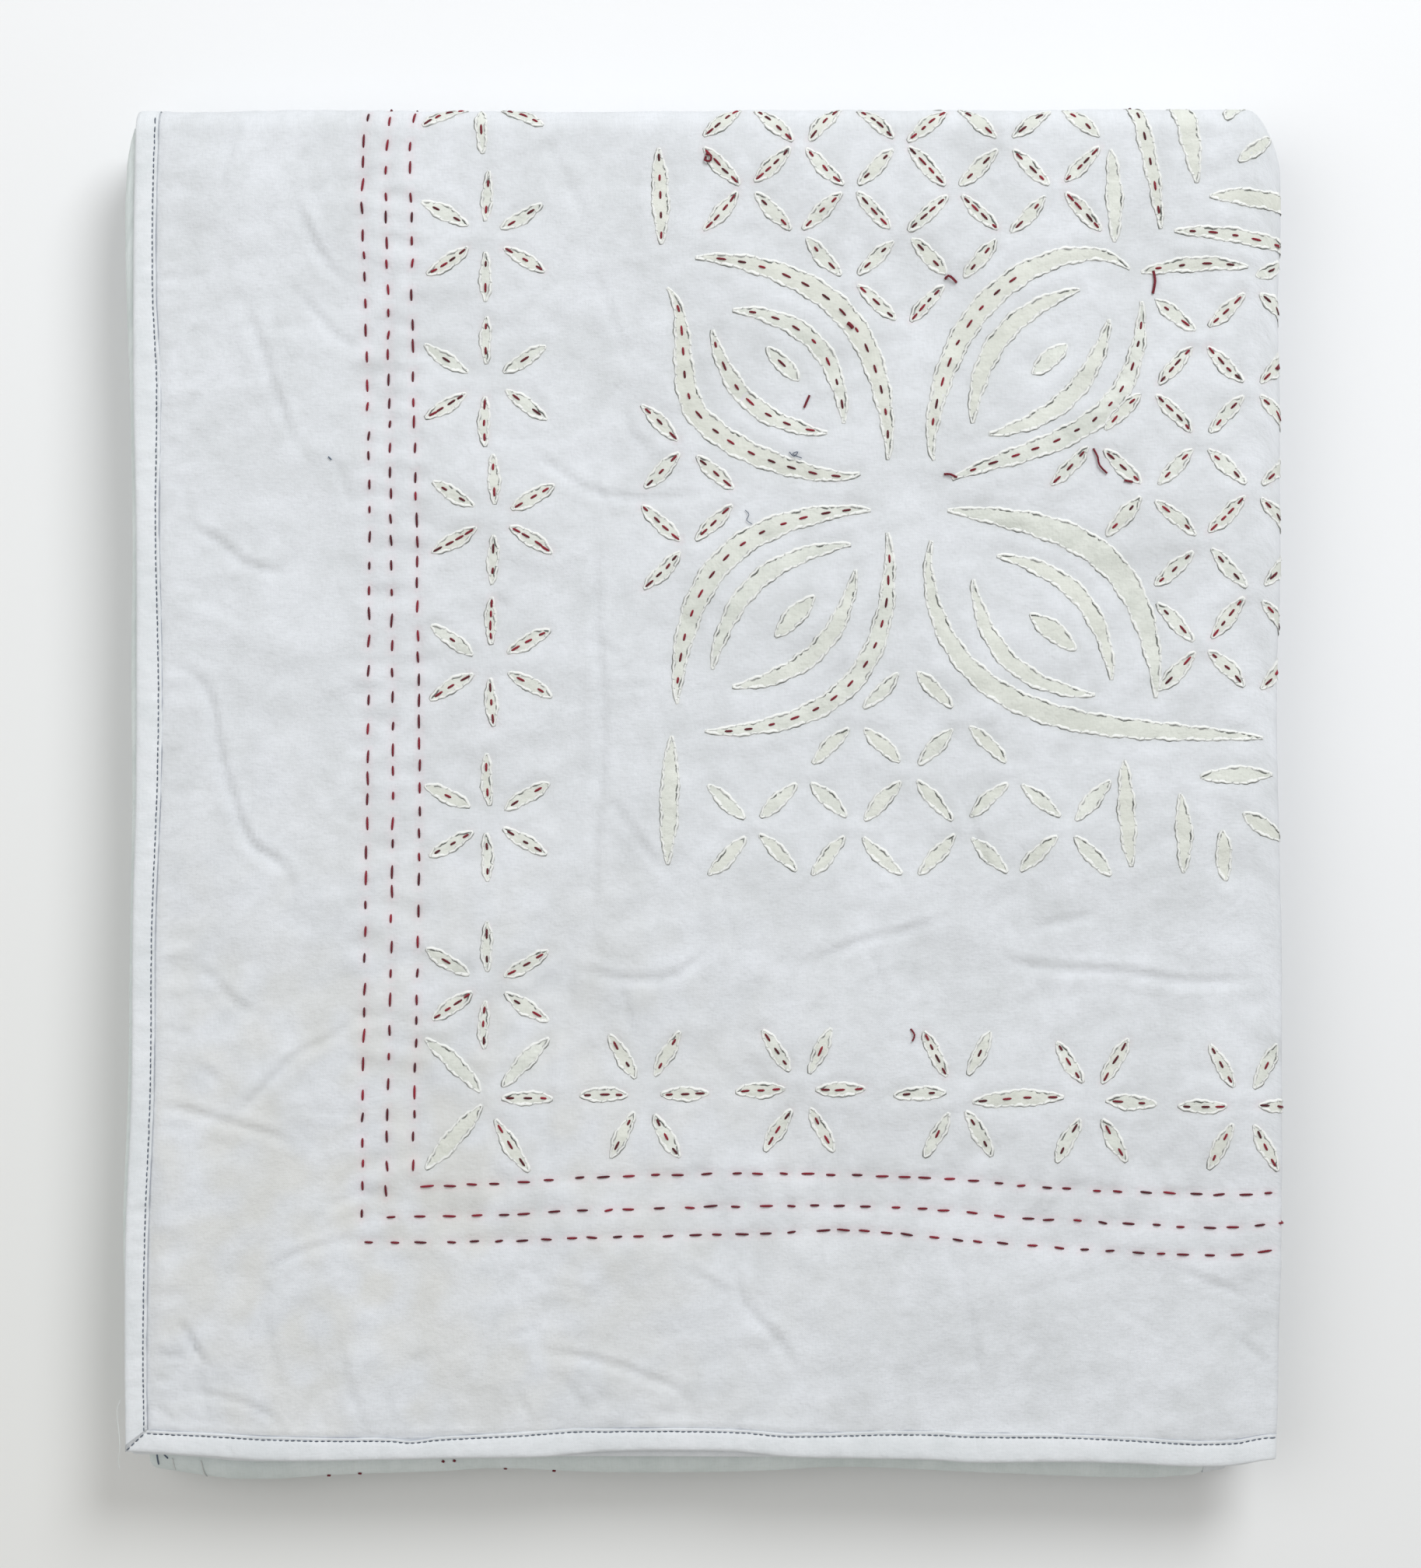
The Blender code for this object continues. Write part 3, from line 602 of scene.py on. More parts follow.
def crescents():
    """The crescents of the flower and those that reach over the far and the right fold."""
    openings = []
    for at in CRESCENTS.rows:
        line = bowed_line((at["x0"] * MM, at["y0"] * MM), (at["x1"] * MM, at["y1"] * MM),
                          at["bulge"] * MM, at["peak"], at.get("before", BOW_FULLNESS),
                          at.get("after", BOW_FULLNESS))
        length = distance_along(line)[-1] * (at["red_to"] - at["red_from"])
        reds = (int(length / RED_PITCH), at["red_from"], at["red_to"])
        openings.append(Opening(line, at["width"] * MM - CRESCENT_TRIM, reds))
    return openings


def lattice_leaves():
    """The leaves of the lattices, which lean one way and the other in turn."""
    openings = []
    for at in LATTICES.rows:
        for r, first, last in at["rows"]:
            for c in range(first, last + 1):
                lean = 45 if (c + r) % 2 == at["rises"] else -45
                openings.append(jittered_leaf(
                    at["x"] + c * at["step_x"], at["y"] + r * at["step_y"], *LATTICE_LEAF,
                    lean, at["reds"]))
    return openings


def star_petals():
    """The petals of the stars along the border."""
    openings = []
    stars = [(place, UPRIGHT_PETALS) for place in UPRIGHT_STARS]
    stars += [(place, LEVEL_PETALS) for place in LEVEL_STARS]
    for (x, y), petals in stars:
        for petal in petals.rows:
            lean, away, reds = petal.values()
            if (x, lean) in PETALS_LEFT_OUT:
                continue
            angle = math.radians(lean)
            length, width = STAR_PETAL
            width *= SLIM_PETAL if lean % 180 == 90 else 1.0
            openings.append(jittered_leaf(
                x + away * math.cos(angle), y + away * math.sin(angle), length, width, lean,
                reds))
    return openings


def all_openings():
    """Every opening, in groups by where they lie."""
    return {
        "flower_crescents": crescents() + [jittered_leaf(**leaf) for leaf in LEAVES.rows],
        "lattice_leaves": lattice_leaves(),
        "border_petals": star_petals() + [jittered_leaf(**leaf) for leaf in CORNER_LEAVES.rows],
    }


# The small creases are laid by chance: how many, and their least and greatest length, depth and
# width, the last two in millimetres
SMALL_CREASES = 130
SMALL_LENGTHS = (0.012, 0.045)
SMALL_DEPTHS = (0.15, 0.42)
SMALL_WIDTHS = (1.9, 2.9)
CREASE_DEPTH = 1.35
CREASE_WIDTH = 0.84
CREASE_FADE = 0.25


def crease_lines():
    """Every crease as its line, depth and width."""
    lines = [(rounded(from_pixels(at["line"]), 0.006), CREASE_DEPTH * at["depth"] * MM,
              CREASE_WIDTH * at["width"] * MM) for at in CREASES.rows]
    chance = np.random.default_rng(61)
    for _ in range(SMALL_CREASES):
        start = chance.uniform((-0.245, -0.285), (0.245, 0.285))
        angle = chance.uniform(0, math.pi)
        length = chance.uniform(*SMALL_LENGTHS)
        line = bowed_line(start, start + length * np.array([math.cos(angle), math.sin(angle)]),
                          chance.normal(0, 0.06) * length, 0.5)
        lines.append((line[::11], chance.uniform(*SMALL_DEPTHS) * MM,
                      chance.uniform(*SMALL_WIDTHS) * MM))
    return lines


def beside_line(line, x, y):
    """How far places lie from a line, the same with its side, and where along the line."""
    run = distance_along(line)
    best = np.full(x.shape, 1e9)
    sided, place = np.zeros(x.shape), np.zeros(x.shape)
    for k in range(len(line) - 1):
        way = line[k + 1] - line[k]
        share = ((x - line[k, 0]) * way[0] + (y - line[k, 1]) * way[1]) / way.dot(way)
        share = np.clip(share, 0.0, 1.0)
        dx, dy = x - line[k, 0] - share * way[0], y - line[k, 1] - share * way[1]
        away = np.hypot(dx, dy)
        closer = away < best
        best = np.where(closer, away, best)
        sided = np.where(closer, np.sign(way[0] * dy - way[1] * dx) * away, sided)
        place = np.where(closer, run[k] + share * (run[k + 1] - run[k]), place)
    return best, sided, place


def crease_section(away, sided, width):
    """Height across a crease: a narrow trough with a low ridge to each side."""
    shape = -0.62 * np.exp(-(away / width) ** 2) - 0.48 * np.exp(-away / (0.62 * width))
    shape += 0.55 * np.exp(-((sided - 1.5 * width) / width) ** 2)
    return shape + 0.25 * np.exp(-((sided + 1.7 * width) / (1.2 * width)) ** 2)


def crease_relief(x, y):
    """Soft troughs with a low ridge beside them, along the creases."""
    relief = np.zeros_like(x)
    for line, depth, width in crease_lines():
        near = in_reach(x, y, line, 4 * width)
        away, sided, place = beside_line(line, x[near], y[near])
        length = distance_along(line)[-1]
        fade = CREASE_FADE * length
        ends = smooth(place / fade) * smooth((length - place) / fade)
        relief[near] += depth * (0.2 + 0.8 * ends) * crease_section(away, sided, width)
    return relief


# The furrow of a red row, how far its puckers reach, and the pitch of its stitches
FURROW_DEPTH = 0.00055
FURROW_WIDTH = 0.0022
PUCKER_WIDTH = 0.0060
ROW_PITCH = 0.0112
ROW_END = 0.004

# Bands of cloth that the red rows pucker: up the left side or along the front, the two sides of
# the band and its start, and the height and length of its ripples
PUCKERED_BANDS = Table(
    ("upright", "low", "high", "start", "height", "wave", "seed"),
    (True, -0.1575, -0.1150, -0.185, 0.00026, 0.0105, 71),
    (False, -0.2040, -0.1580, -0.150, 0.00024, 0.0115, 72),
)


def row_relief(x, y):
    """Furrows along the red rows, with the small puckers between their stitches."""
    relief = np.zeros_like(x)
    for k, row in enumerate(RED_ROWS):
        line = np.array(row) * MM
        upright = k < 3
        along, across = (y, x) if upright else (x, y)
        axis = 1 if upright else 0
        order = np.argsort(line[:, axis])
        centre = np.interp(along, line[order, axis], line[order, 1 - axis])
        inside = smooth((along - line[:, axis].min() + ROW_END) / ROW_END)
        inside *= smooth((line[:, axis].max() + ROW_END - along) / ROW_END)
        away = across - centre
        relief -= FURROW_DEPTH * inside * np.exp(-(away / FURROW_WIDTH) ** 2)
        drift = 1.7 * k + 0.8 * ripple(x, y, 0.06, 90 + k)
        wave = np.sin(2 * math.pi * along / ROW_PITCH + drift)
        pucker = 0.00020 * ripple(x * 0.6, y * 0.6, 0.011, 70) + 0.00016 * wave
        relief += inside * pucker * np.exp(-(away / PUCKER_WIDTH) ** 2)
    for at in PUCKERED_BANDS.rows:
        across, along = (x, y) if at["upright"] else (y, x)
        band = smooth((across - at["low"]) / 0.008) * smooth((at["high"] - across) / 0.008)
        band *= smooth((along - at["start"]) / 0.010)
        drawn = (0.22 * x, y) if at["upright"] else (x, 0.22 * y)
        relief += band * at["height"] * ripple(*drawn, at["wave"], at["seed"])
    return relief


# Height of the cloth beside an opening: drawn down at the hem, and a low puff further out
BESIDE_OPENING = Table(
    ("rise", "out", "wide"),
    (-0.00030, 0.0005, 0.0022), (0.00022, 0.0055, 0.0026),
)
# How far from an opening's hem the painted shade on the face cloth reaches
HEM_SHADE = 0.003


def opening_relief(x, y, openings):
    """The cloth puffs a little beside each opening and is drawn down at its hem."""
    relief = np.zeros_like(x)
    closeness = np.full_like(x, 9.0)
    for opening in openings:
        line = opening.line[::3]
        half = (opening.half[0][::3] + opening.half[1][::3]) / 2
        near = in_reach(x, y, line, opening.width / 2 + 0.006)
        px, py = x[near], y[near]
        if not px.size:
            continue
        away = np.full(px.shape, 1e9)
        for (cx, cy), wide in zip(line, half):
            away = np.minimum(away, np.hypot(px - cx, py - cy) - wide)
        for at in BESIDE_OPENING.rows:
            relief[near] += at["rise"] * np.exp(-((away - at["out"]) / at["wide"]) ** 2)
        # How close each place is to a hem, for the painted shade there
        closeness[near] = np.minimum(closeness[near], np.maximum(away, 0.0) / HEM_SHADE)
    return relief, closeness


# Soft waves all over the top: height, length and seed
WAVES = Table(
    ("height", "wave", "seed"),
    (0.00060, 0.120, 3), (0.00034, 0.045, 4), (0.00017, 0.019, 5), (0.00006, 0.009, 6),
)
TUCK_HEIGHT = 0.00042
TUCK_WAVE = 0.009
TUCK_REACH = 0.010
TAPE_REACH = 0.0117


def cloth_relief(u, v, openings):
    """Height of the top cloth over its smooth shape, and how close it is to an opening."""
    x, y = to_plan(u, v)
    relief = sum(at["height"] * ripple(x, y, at["wave"], at["seed"]) for at in WAVES.rows)
    relief += crease_relief(x, y) + row_relief(x, y)
    seams, closeness = opening_relief(x, y, openings)
    relief += seams
    for inset, drawn, seed in ((v, (x, 0.25 * y), 8), (u, (0.25 * x, y), 9)):
        tucks = TUCK_HEIGHT * np.maximum(ripple(*drawn, TUCK_WAVE, seed), -0.5)
        relief += tucks * np.exp(-(inset - TAPE_REACH) / TUCK_REACH)
    start = smooth((np.minimum(u, v) - 0.0116) / 0.0050)
    at_fold = 1 - 0.65 * smooth((u - LAYER_LEG + 0.012) / 0.012)
    at_fold *= 1 - 0.55 * smooth((v - SECTION_LEG + 0.012) / 0.012)
    under = smooth((LAYER_LEG + LAYER_TURN - u) / 0.0035)
    under *= smooth((SECTION_LEG + SECTION_TURN - v) / 0.0060)
    return relief * start * at_fold * under, closeness


def fold_stations(leg, turn, count, turn_steps):
    """Places of the wide mesh lines along a folded strip, with those that carry the tape."""
    places = []
    for index in range(count):
        start = index * (leg + turn)
        places += [start + leg * share for share in WIDE_SHARES]
        if index < count - 1:
            places += [start + leg + turn * step / turn_steps for step in range(1, turn_steps)]
    total = places[-1]
    far_rim = [total - place for place in reversed(RIM_PLACES)]
    return [*RIM_PLACES, *places[1:-1], *far_rim]


def fine_stations(low, leg, turn, turn_steps):
    """Close mesh lines across the top, round its fold and a little beyond."""
    start = low + 0.0016
    steps = math.ceil((leg - start) / FINE_STEP)
    places = [start + (leg - start) * k / steps for k in range(steps + 1)]
    places += [leg + turn * k / turn_steps for k in range(1, turn_steps + 1)]
    return places + [leg + turn + 0.003]


def zip_chains(outer, outer_places, inner, inner_places):
    """Triangles that fill the strip between two chains of points that run the same way."""
    faces = []
    near = far = 0
    while near < len(outer) - 1 or far < len(inner) - 1:
        inner_done = far == len(inner) - 1
        outer_left = near < len(outer) - 1
        if inner_done or (outer_left and outer_places[near + 1] <= inner_places[far + 1]):
            faces.append((outer[near], outer[near + 1], inner[far]))
            near += 1
        else:
            faces.append((outer[near], inner[far + 1], inner[far]))
            far += 1
    return faces


def border(ids):
    """The four sides of a grid of points, each counter-clockwise from corner to corner."""
    return [list(ids[:, 0]), list(ids[-1, :]), list(ids[::-1, -1]), list(ids[0, ::-1])]


def grid_faces(ids, window=None):
    """Quads of a grid of points, but for those in a window of rows and columns."""
    corners = np.stack([ids[:-1, :-1], ids[1:, :-1], ids[1:, 1:], ids[:-1, 1:]], axis=-1)
    if window:
        keep = np.ones(corners.shape[:2], dtype=bool)
        keep[window[0], window[1]] = False
        return corners[keep].tolist()
    return corners.reshape(-1, 4).tolist()


def quilt_sheet(relief):
    """The sheet: face side, back and rim, with a close mesh on the top."""
    wide_u = fold_stations(LAYER_LEG, LAYER_TURN, LAYERS, LAYER_TURN_STEPS)
    wide_v = fold_stations(SECTION_LEG, SECTION_TURN, SECTIONS, SECTION_TURN_STEPS)
    grid_u, grid_v = np.meshgrid(wide_u, wide_v, indexing="ij")
    inset = np.minimum(np.minimum(grid_u, WIDTH - grid_u), np.minimum(grid_v, LENGTH - grid_v))
    half = np.where(inset < 0.0115, PINCHED_HALF, HALF_SHEET)
    count = grid_u.size
    face_ids = np.arange(count).reshape(grid_u.shape)
    back_ids = face_ids + count
    first = len(RIM_PLACES) - 1
    last_u = int(np.argmax(np.array(wide_u) > LAYER_LEG + LAYER_TURN + 0.005))
    last_v = int(np.argmax(np.array(wide_v) > SECTION_LEG + SECTION_TURN + 0.005))
    outer_ids = face_ids[first:last_u + 1, first:last_v + 1]
    outer_u, outer_v = wide_u[first:last_u + 1], wide_v[first:last_v + 1]
    fine_u, fine_v = relief["u"], relief["v"]
    close_u, close_v = np.meshgrid(fine_u, fine_v, indexing="ij")
    top = folded(close_u, close_v, HALF_SHEET + relief["height"])
    top_ids = 2 * count + np.arange(close_u.size).reshape(close_u.shape)

    faces = grid_faces(face_ids, (slice(first, last_u), slice(first, last_v)))
    faces += grid_faces(top_ids)
    runs = [(outer_u, fine_u), (outer_v, fine_v), ([-u for u in outer_u[::-1]],
            [-u for u in fine_u[::-1]]), ([-v for v in outer_v[::-1]], [-v for v in fine_v[::-1]])]
    for outer, inner, (wide, close) in zip(border(outer_ids), border(top_ids), runs):
        faces += zip_chains(outer, wide, inner, close)
    face_count = len(faces)
    faces += [quad[::-1] for quad in grid_faces(back_ids)]
    for upper, lower in zip(border(face_ids), border(back_ids)):
        for k in range(len(upper) - 1):
            faces.append((upper[k + 1], upper[k], lower[k], lower[k + 1]))
    points = np.concatenate([
        folded(grid_u, grid_v, half).reshape(-1, 3),
        folded(grid_u, grid_v, -half).reshape(-1, 3),
        top.reshape(-1, 3),
    ])
    flat = np.stack([np.concatenate([grid_u.ravel(), grid_u.ravel(), close_u.ravel()]),
                     np.concatenate([grid_v.ravel(), grid_v.ravel(), close_v.ravel()])], axis=-1)
    sides = np.zeros(len(faces), dtype=np.int32)
    sides[face_count:] = 1
    return points, faces, flat, sides


def height_at(relief, u, v):
    """Height of the top cloth over its smooth shape, read between the mesh lines."""
    height = relief["height"]
    i = np.clip(np.searchsorted(relief["u"], u) - 1, 0, len(relief["u"]) - 2)
    j = np.clip(np.searchsorted(relief["v"], v) - 1, 0, len(relief["v"]) - 2)
    a = np.clip((u - relief["u"][i]) / (relief["u"][i + 1] - relief["u"][i]), 0, 1)
    b = np.clip((v - relief["v"][j]) / (relief["v"][j + 1] - relief["v"][j]), 0, 1)
    low = height[i, j] * (1 - b) + height[i, j + 1] * b
    high = height[i + 1, j] * (1 - b) + height[i + 1, j + 1] * b
    inside = (u < relief["u"][-1]) & (v < relief["v"][-1])
    return np.where(inside, low * (1 - a) + high * a, 0.0)


# How much flatter the sewing lies where the fold presses it
PRESSED_SHARE = 0.72


def on_cloth(relief, plan, section=0):
    """World and flat places of plan points (x, y, h), laid on the cloth."""
    u, v = to_sheet(plan[:, 0], plan[:, 1], section)
    past_u = smooth((u - LAYER_LEG - 0.7 * LAYER_TURN) / 0.003)
    start = section * (SECTION_LEG + SECTION_TURN)
    past_v = smooth((v - start - SECTION_LEG - 0.85 * SECTION_TURN) / 0.004)
    if section:
        past_v = np.maximum(past_v, smooth((start + SECTION_LEG - v) / 0.004))
    pressed = 1 - PRESSED_SHARE * np.maximum(past_u, past_v)
    lift = height_at(relief, u, v) if section == 0 else 0.0
    s = HALF_SHEET + lift + plan[:, 2] * pressed
    return folded(u, v, s), np.stack([u, v], axis=-1)


class Build:
    """Gathers the points and faces of one piece, with numbers at its points."""

    def __init__(self):
        self.points, self.flat, self.faces, self.marks = [], [], [], []
        self.count = 0

    def add(self, points, flat, faces, mark=0.0):
        self.faces += (np.asarray(faces) + self.count).tolist()
        self.points.append(points)
        self.flat.append(flat)
        self.marks.append(np.broadcast_to(mark, (len(points),)))
        self.count += len(points)


def point_ids(rows, stations, *closed):
    """Numbers of a grid of points; a closed axis ends with its first points again."""
    ids = np.arange(rows * stations).reshape(rows, stations)
    for axis in closed:
        ids = np.concatenate([ids, ids.take([0], axis=axis)], axis=axis)
    return ids


def strip_faces(rows, stations, *closed):
    """Quads between rows of points, joined round each closed axis."""
    ids = point_ids(rows, stations, *closed)
    return np.stack([ids[:-1, :-1], ids[:-1, 1:], ids[1:, 1:], ids[1:, :-1]],
                    axis=-1).reshape(-1, 4)


def turn_round(sides):
    """Angles of the corners of a thread's section."""
    return np.linspace(0, 2 * math.pi, sides, endpoint=False)


def straight_stitches(starts, stops, share, thick, lift, sides):
    """Round stitches from point to point: flat places, heights, and faces of them all."""
    way = stops - starts
    side = unit(left_of(way))
    turn = turn_round(sides)
    middle = starts[:, None, None] + way[:, None, None] * share[None, :, None, None]
    places = middle + (thick[:, None] * np.cos(turn))[None, :, :, None] * side[:, None, None]
    height = np.broadcast_to(lift[:, None] + thick[:, None] * np.sin(turn), places.shape[:3])
    first = len(share) * sides * np.arange(len(starts))
    faces = strip_faces(len(share), sides, 1)[None] + first[:, None, None]
    return places.reshape(-1, 2), height.ravel(), faces.reshape(-1, 4)


def add_underlay(build, relief, opening, section):
    """The cream cloth that shows in an opening."""
    shares = (-1.0, -0.75, -0.5, -0.25, 0.0, 0.25, 0.5, 0.75, 1.0)
    rows = [opening.point(share) for share in shares]
    wave = 0.00007 * ripple(opening.line[:, 0], opening.line[:, 1], 0.007, 12)
    rise = [UNDERLAY_RISE + wave * (abs(share) < 0.9) for share in shares]
    plan = np.concatenate([np.column_stack([row, lift]) for row, lift in zip(rows, rise)])
    points, flat = on_cloth(relief, plan, section)
    faces = strip_faces(len(rows), len(opening.line))
    build.add(points, flat, faces, opening.tone)


def add_lip(build, relief, opening, section):
    """The turned edge of the white cloth round an opening, drawn down at each hem stitch."""
    outline = opening.outline()
    out = -left_of(unit(np.roll(outline, -1, axis=0) - np.roll(outline, 1, axis=0)))
    run = distance_along(outline)
    turns = math.pi * (run + 0.0011 * np.sin(run / 0.0019 + rng.uniform(0, 6))) / HEM_STITCH
    beat = np.abs(np.sin(turns + rng.uniform(0, 3))) ** 0.45
    drawn = 0.5 + 0.5 * np.sin(2 * math.pi * run / rng.uniform(0.009, 0.015) + rng.uniform(0, 6))
    shade_and_soil_run = 0.5 + 0.5 * np.sin(2 * math.pi * run / rng.uniform(0.030, 0.060) + rng.uniform(0, 6))
    rise = LIP_RISE * (0.12 + 0.88 * beat) * (0.72 + 0.42 * drawn)
    lit = out @ np.array(FAR_LIGHT)
    rows = []
    marks = []
    for at in LIP.rows:
        away, share, outer, inner = at.values()
        lift = rise * share if share > 0 else np.full(len(rise), LIP_RISE * share)
        rows.append(np.column_stack([outline + out * away * (0.8 + 0.4 * drawn)[:, None], lift]))
        # Painted shade, with some soil, in the creases at the lip's feet: stronger on the side away
        # from the light
        shade = outer * np.clip(0.70 - 0.9 * lit, 0, 1) + inner * np.clip(0.70 + 0.9 * lit, 0, 1)
        shade = shade * (0.35 + 0.65 * beat) * (0.60 + 0.50 * drawn) * (0.75 + 0.75 * shade_and_soil_run)
        marks.append(np.clip(shade, 0, 1))
    points, flat = on_cloth(relief, np.concatenate(rows), section)
    faces = strip_faces(len(rows), len(outline), 1)[:, ::-1]
    build.add(points, flat, faces, np.concatenate(marks))


def add_threads(build, relief, starts, stops, radius, arch, section=0, sides=6, rings=7):
    """Short stitches from point to point: tapered threads that arch over the cloth."""
    if not len(starts):
        return
    share = (1 - np.cos(np.linspace(0, math.pi, rings))) / 2
    round_end = 1 - (2 * share - 1) ** 4
    thick = radius * np.sqrt(np.maximum(round_end, 0.04))
    places, height, faces = straight_stitches(
        starts, stops, share, thick, arch * round_end - 0.5 * radius, sides)
    points, _ = on_cloth(relief, np.column_stack([places, height]), section)
    lengths = np.linalg.norm(stops - starts, axis=1)
    along, around = np.broadcast_arrays(share[None, :, None] * lengths[:, None, None],
                                        turn_round(sides))
    flat = np.stack([along.ravel(), around.ravel() * radius], axis=-1)
    tones = rng.uniform(-1, 1, len(starts))
    build.add(points, flat, faces, np.repeat(tones, rings * sides))


def add_line_thread(build, relief, points, heights, radius, sides=6):
    """A loose thread along a line of plan points."""
    line = rounded(points, 0.0008)
    run = distance_along(line)
    height = np.interp(run / run[-1], np.linspace(0, 1, len(heights)), heights)
    side = unit(left_of(np.gradient(line, axis=0)))
    rows = [np.column_stack([line + side * radius * math.cos(a), height + radius * math.sin(a)])
            for a in turn_round(sides)]
    plan = np.stack(rows, axis=1).reshape(-1, 3)
    places, flat = on_cloth(relief, plan)
    build.add(places, flat, strip_faces(len(line), sides, 1))


def red_stitches(opening):
    """Starts and stops of the red running stitches down the middle of an opening."""
    count, low, high = opening.reds
    if not count:
        return np.zeros((0, 2)), np.zeros((0, 2))
    pitch = (high - low) * opening.length / count
    middles = low * opening.length + pitch * (np.arange(count) + 0.5)
    middles = middles + rng.normal(0, 0.0005, count)
    half = rng.uniform(0.0015, 0.0026, count)
    line = opening.spine
    starts, _ = walk(line, middles - half)
    stops, _ = walk(line, middles + half)
    return starts + rng.normal(0, 0.00015, starts.shape), stops


def row_stitches(row):
    """Starts and stops of the red running stitches of one row."""
    line = rounded(np.array(row) * MM)
    length = distance_along(line)[-1]
    middles = []
    place = rng.uniform(0.002, 0.006)
    while place < length - 0.002:
        middles.append(place)
        place += rng.uniform(0.0084, 0.0136)
    middles = np.array(middles)
    half = rng.uniform(0.0019, 0.0033, len(middles))
    starts, _ = walk(line, middles - half)
    stops, _ = walk(line, middles + half)
    return starts + rng.normal(0, 0.0002, starts.shape), stops + rng.normal(0, 0.0002, stops.shape)


def hem_stitches(opening):
    """Starts and stops of the small white stitches over an opening's edge."""
    outline = opening.outline()
    run = distance_along(outline)
    places = np.arange(0.001, run[-1], HEM_STITCH)
    places = places + rng.normal(0, 0.0006, len(places))
    at, way = walk(outline, places)
    out = -left_of(way)
    lean = way * rng.uniform(0.0003, 0.0008, len(places))[:, None]
    return at + out * 0.0007 - lean, at - out * 0.0006 + lean


# The tape's section over the sheet's face: how far in from the edge, and how high over the face
TAPE = Table(
    ("inset", "rise"),
    (0.0001, -0.00100), (0.0004, -0.00040), (0.0010, 0.00005), (0.0022, 0.00030),
    (0.0042, 0.00042), (0.0064, 0.00040), (0.0079, 0.00030), (0.0086, 0.00008),
    (0.0090, -0.00008), (0.0094, 0.00012), (0.0098, 0.00034), (0.0102, 0.00036),
    (0.0106, 0.00016), (0.0108, -0.00024),
)

# The inside of the tape, under the sheet's face: from and to, and how high
TAPE_HOLLOW = (0.0012, 0.0096)
TAPE_INSIDE = -0.00050

# How far in from the edge the tape's seam runs, along the front and up the left side, in
# millimetres
SEAM_COLUMNS = ("place", "inset")
FRONT_SEAM = Table(
    SEAM_COLUMNS,
    (0, 8.6), (30, 9.0), (60, 9.4), (90, 8.7), (115, 8.2), (124, 7.2), (135, 8.2), (165, 9.5),
    (190, 10.2), (210, 9.0), (280, 8.9), (310, 10.0), (330, 10.8), (370, 11.2), (390, 10.9),
    (430, 10.2), (470, 9.6), (496, 9.8),
    unit=MM,
)
SIDE_SEAM = Table(
    SEAM_COLUMNS,
    (0, 8.4), (43, 8.2), (94, 8.6), (162, 8.5), (230, 8.6), (315, 9.8), (345, 9.8), (405, 8.7),
    (466, 10.4), (490, 9.5), (510, 8.6), (580, 8.5),
    unit=MM,
)


# How far from the near-left corner the tape's places are closed up towards its mitre, and how far
# apart they are elsewhere
MITRE = 0.0125
CLOSE_STEP = 0.0015
WIDE_STEP = 0.0120


def seam_shift(seam, place, inset):
    """An inset of the tape, drawn in or out with its seam at a place along the edge."""
    share = seam.at("inset", place) / SEAM_INSET
    return inset * (1 + (share - 1) * min(inset / SEAM_INSET, 1.0))


def rim_line():
    """Places round the rim: close together where the edge is seen from above."""
    def side(length, leg, turn, count, close):
        places = set()
        for index in range(count):
            start = index * (leg + turn)
            step = CLOSE_STEP if close and index == 0 else WIDE_STEP
            places |= set(np.arange(start, start + leg, step).tolist())
            places |= {start + leg + turn * k / 8 for k in range(9) if index < count - 1}
        places = {p for p in places if MITRE < p < length - MITRE}
        return sorted(places | {MITRE * k / 4 for k in range(1, 5) if close})

    across = (WIDTH, LAYER_LEG, LAYER_TURN, LAYERS)
    along = (LENGTH, SECTION_LEG, SECTION_TURN, SECTIONS)
    return side(*across, True), side(*along, False), side(*across, False), side(*along, True)


def mitred(places, inset):
    """Places along an edge, closed up towards the mitre for a loop at an inset."""
    return [inset + (MITRE - inset) * p / MITRE if p < MITRE else p for p in places]


def rim_points(sides, inset, facing=0):
    """Flat places of the loop round the rim at an inset; the face side follows the seam."""
    front, right, rear, left = sides
    front, left = mitred(front, inset), mitred(left, inset)
    loop = [(inset, inset)] + [(u, inset) for u in front]
    loop += [(WIDTH - inset, inset)] + [(WIDTH - inset, v) for v in right]
    loop += [(WIDTH - inset, LENGTH - inset)] + [(u, LENGTH - inset) for u in reversed(rear)]
    loop += [(inset, LENGTH - inset)] + [(inset, v) for v in reversed(left)]
    loop = np.array(loop)
    if facing > 0:
        along = slice(1, 1 + len(front))
        loop[along, 1] = seam_shift(FRONT_SEAM, loop[along, 0], inset)
        along = slice(len(loop) - len(left), len(loop))
        loop[along, 0] = seam_shift(SIDE_SEAM, loop[along, 1], inset)
        loop[0] = (seam_shift(SIDE_SEAM, 0.0, inset), seam_shift(FRONT_SEAM, 0.0, inset))
    return loop


def tape_rise(u, v, inset, rise):
    """Height of the tape over the face: full and tucked where it is free, pressed elsewhere."""
    free = (u < LAYER_LEG) & (v < SECTION_LEG)
    fade = smooth((LAYER_LEG - u) / 0.02) * smooth((SECTION_LEG - v) / 0.02)
    across = np.where(u < v, v, u)
    tuck = ripple(across, 0.3 * inset * np.ones_like(across), 0.0062, 21)
    tuck = tuck * 0.00011 + 0.00010 * ripple(across, across * 0, 0.019, 22)
    bulge = smooth(inset / 0.002) * smooth((0.0119 - inset) / 0.001)
    height = rise + tuck * bulge
    return np.where(free, height * fade + (1 - fade) * rise * 0.4, rise * 0.4)


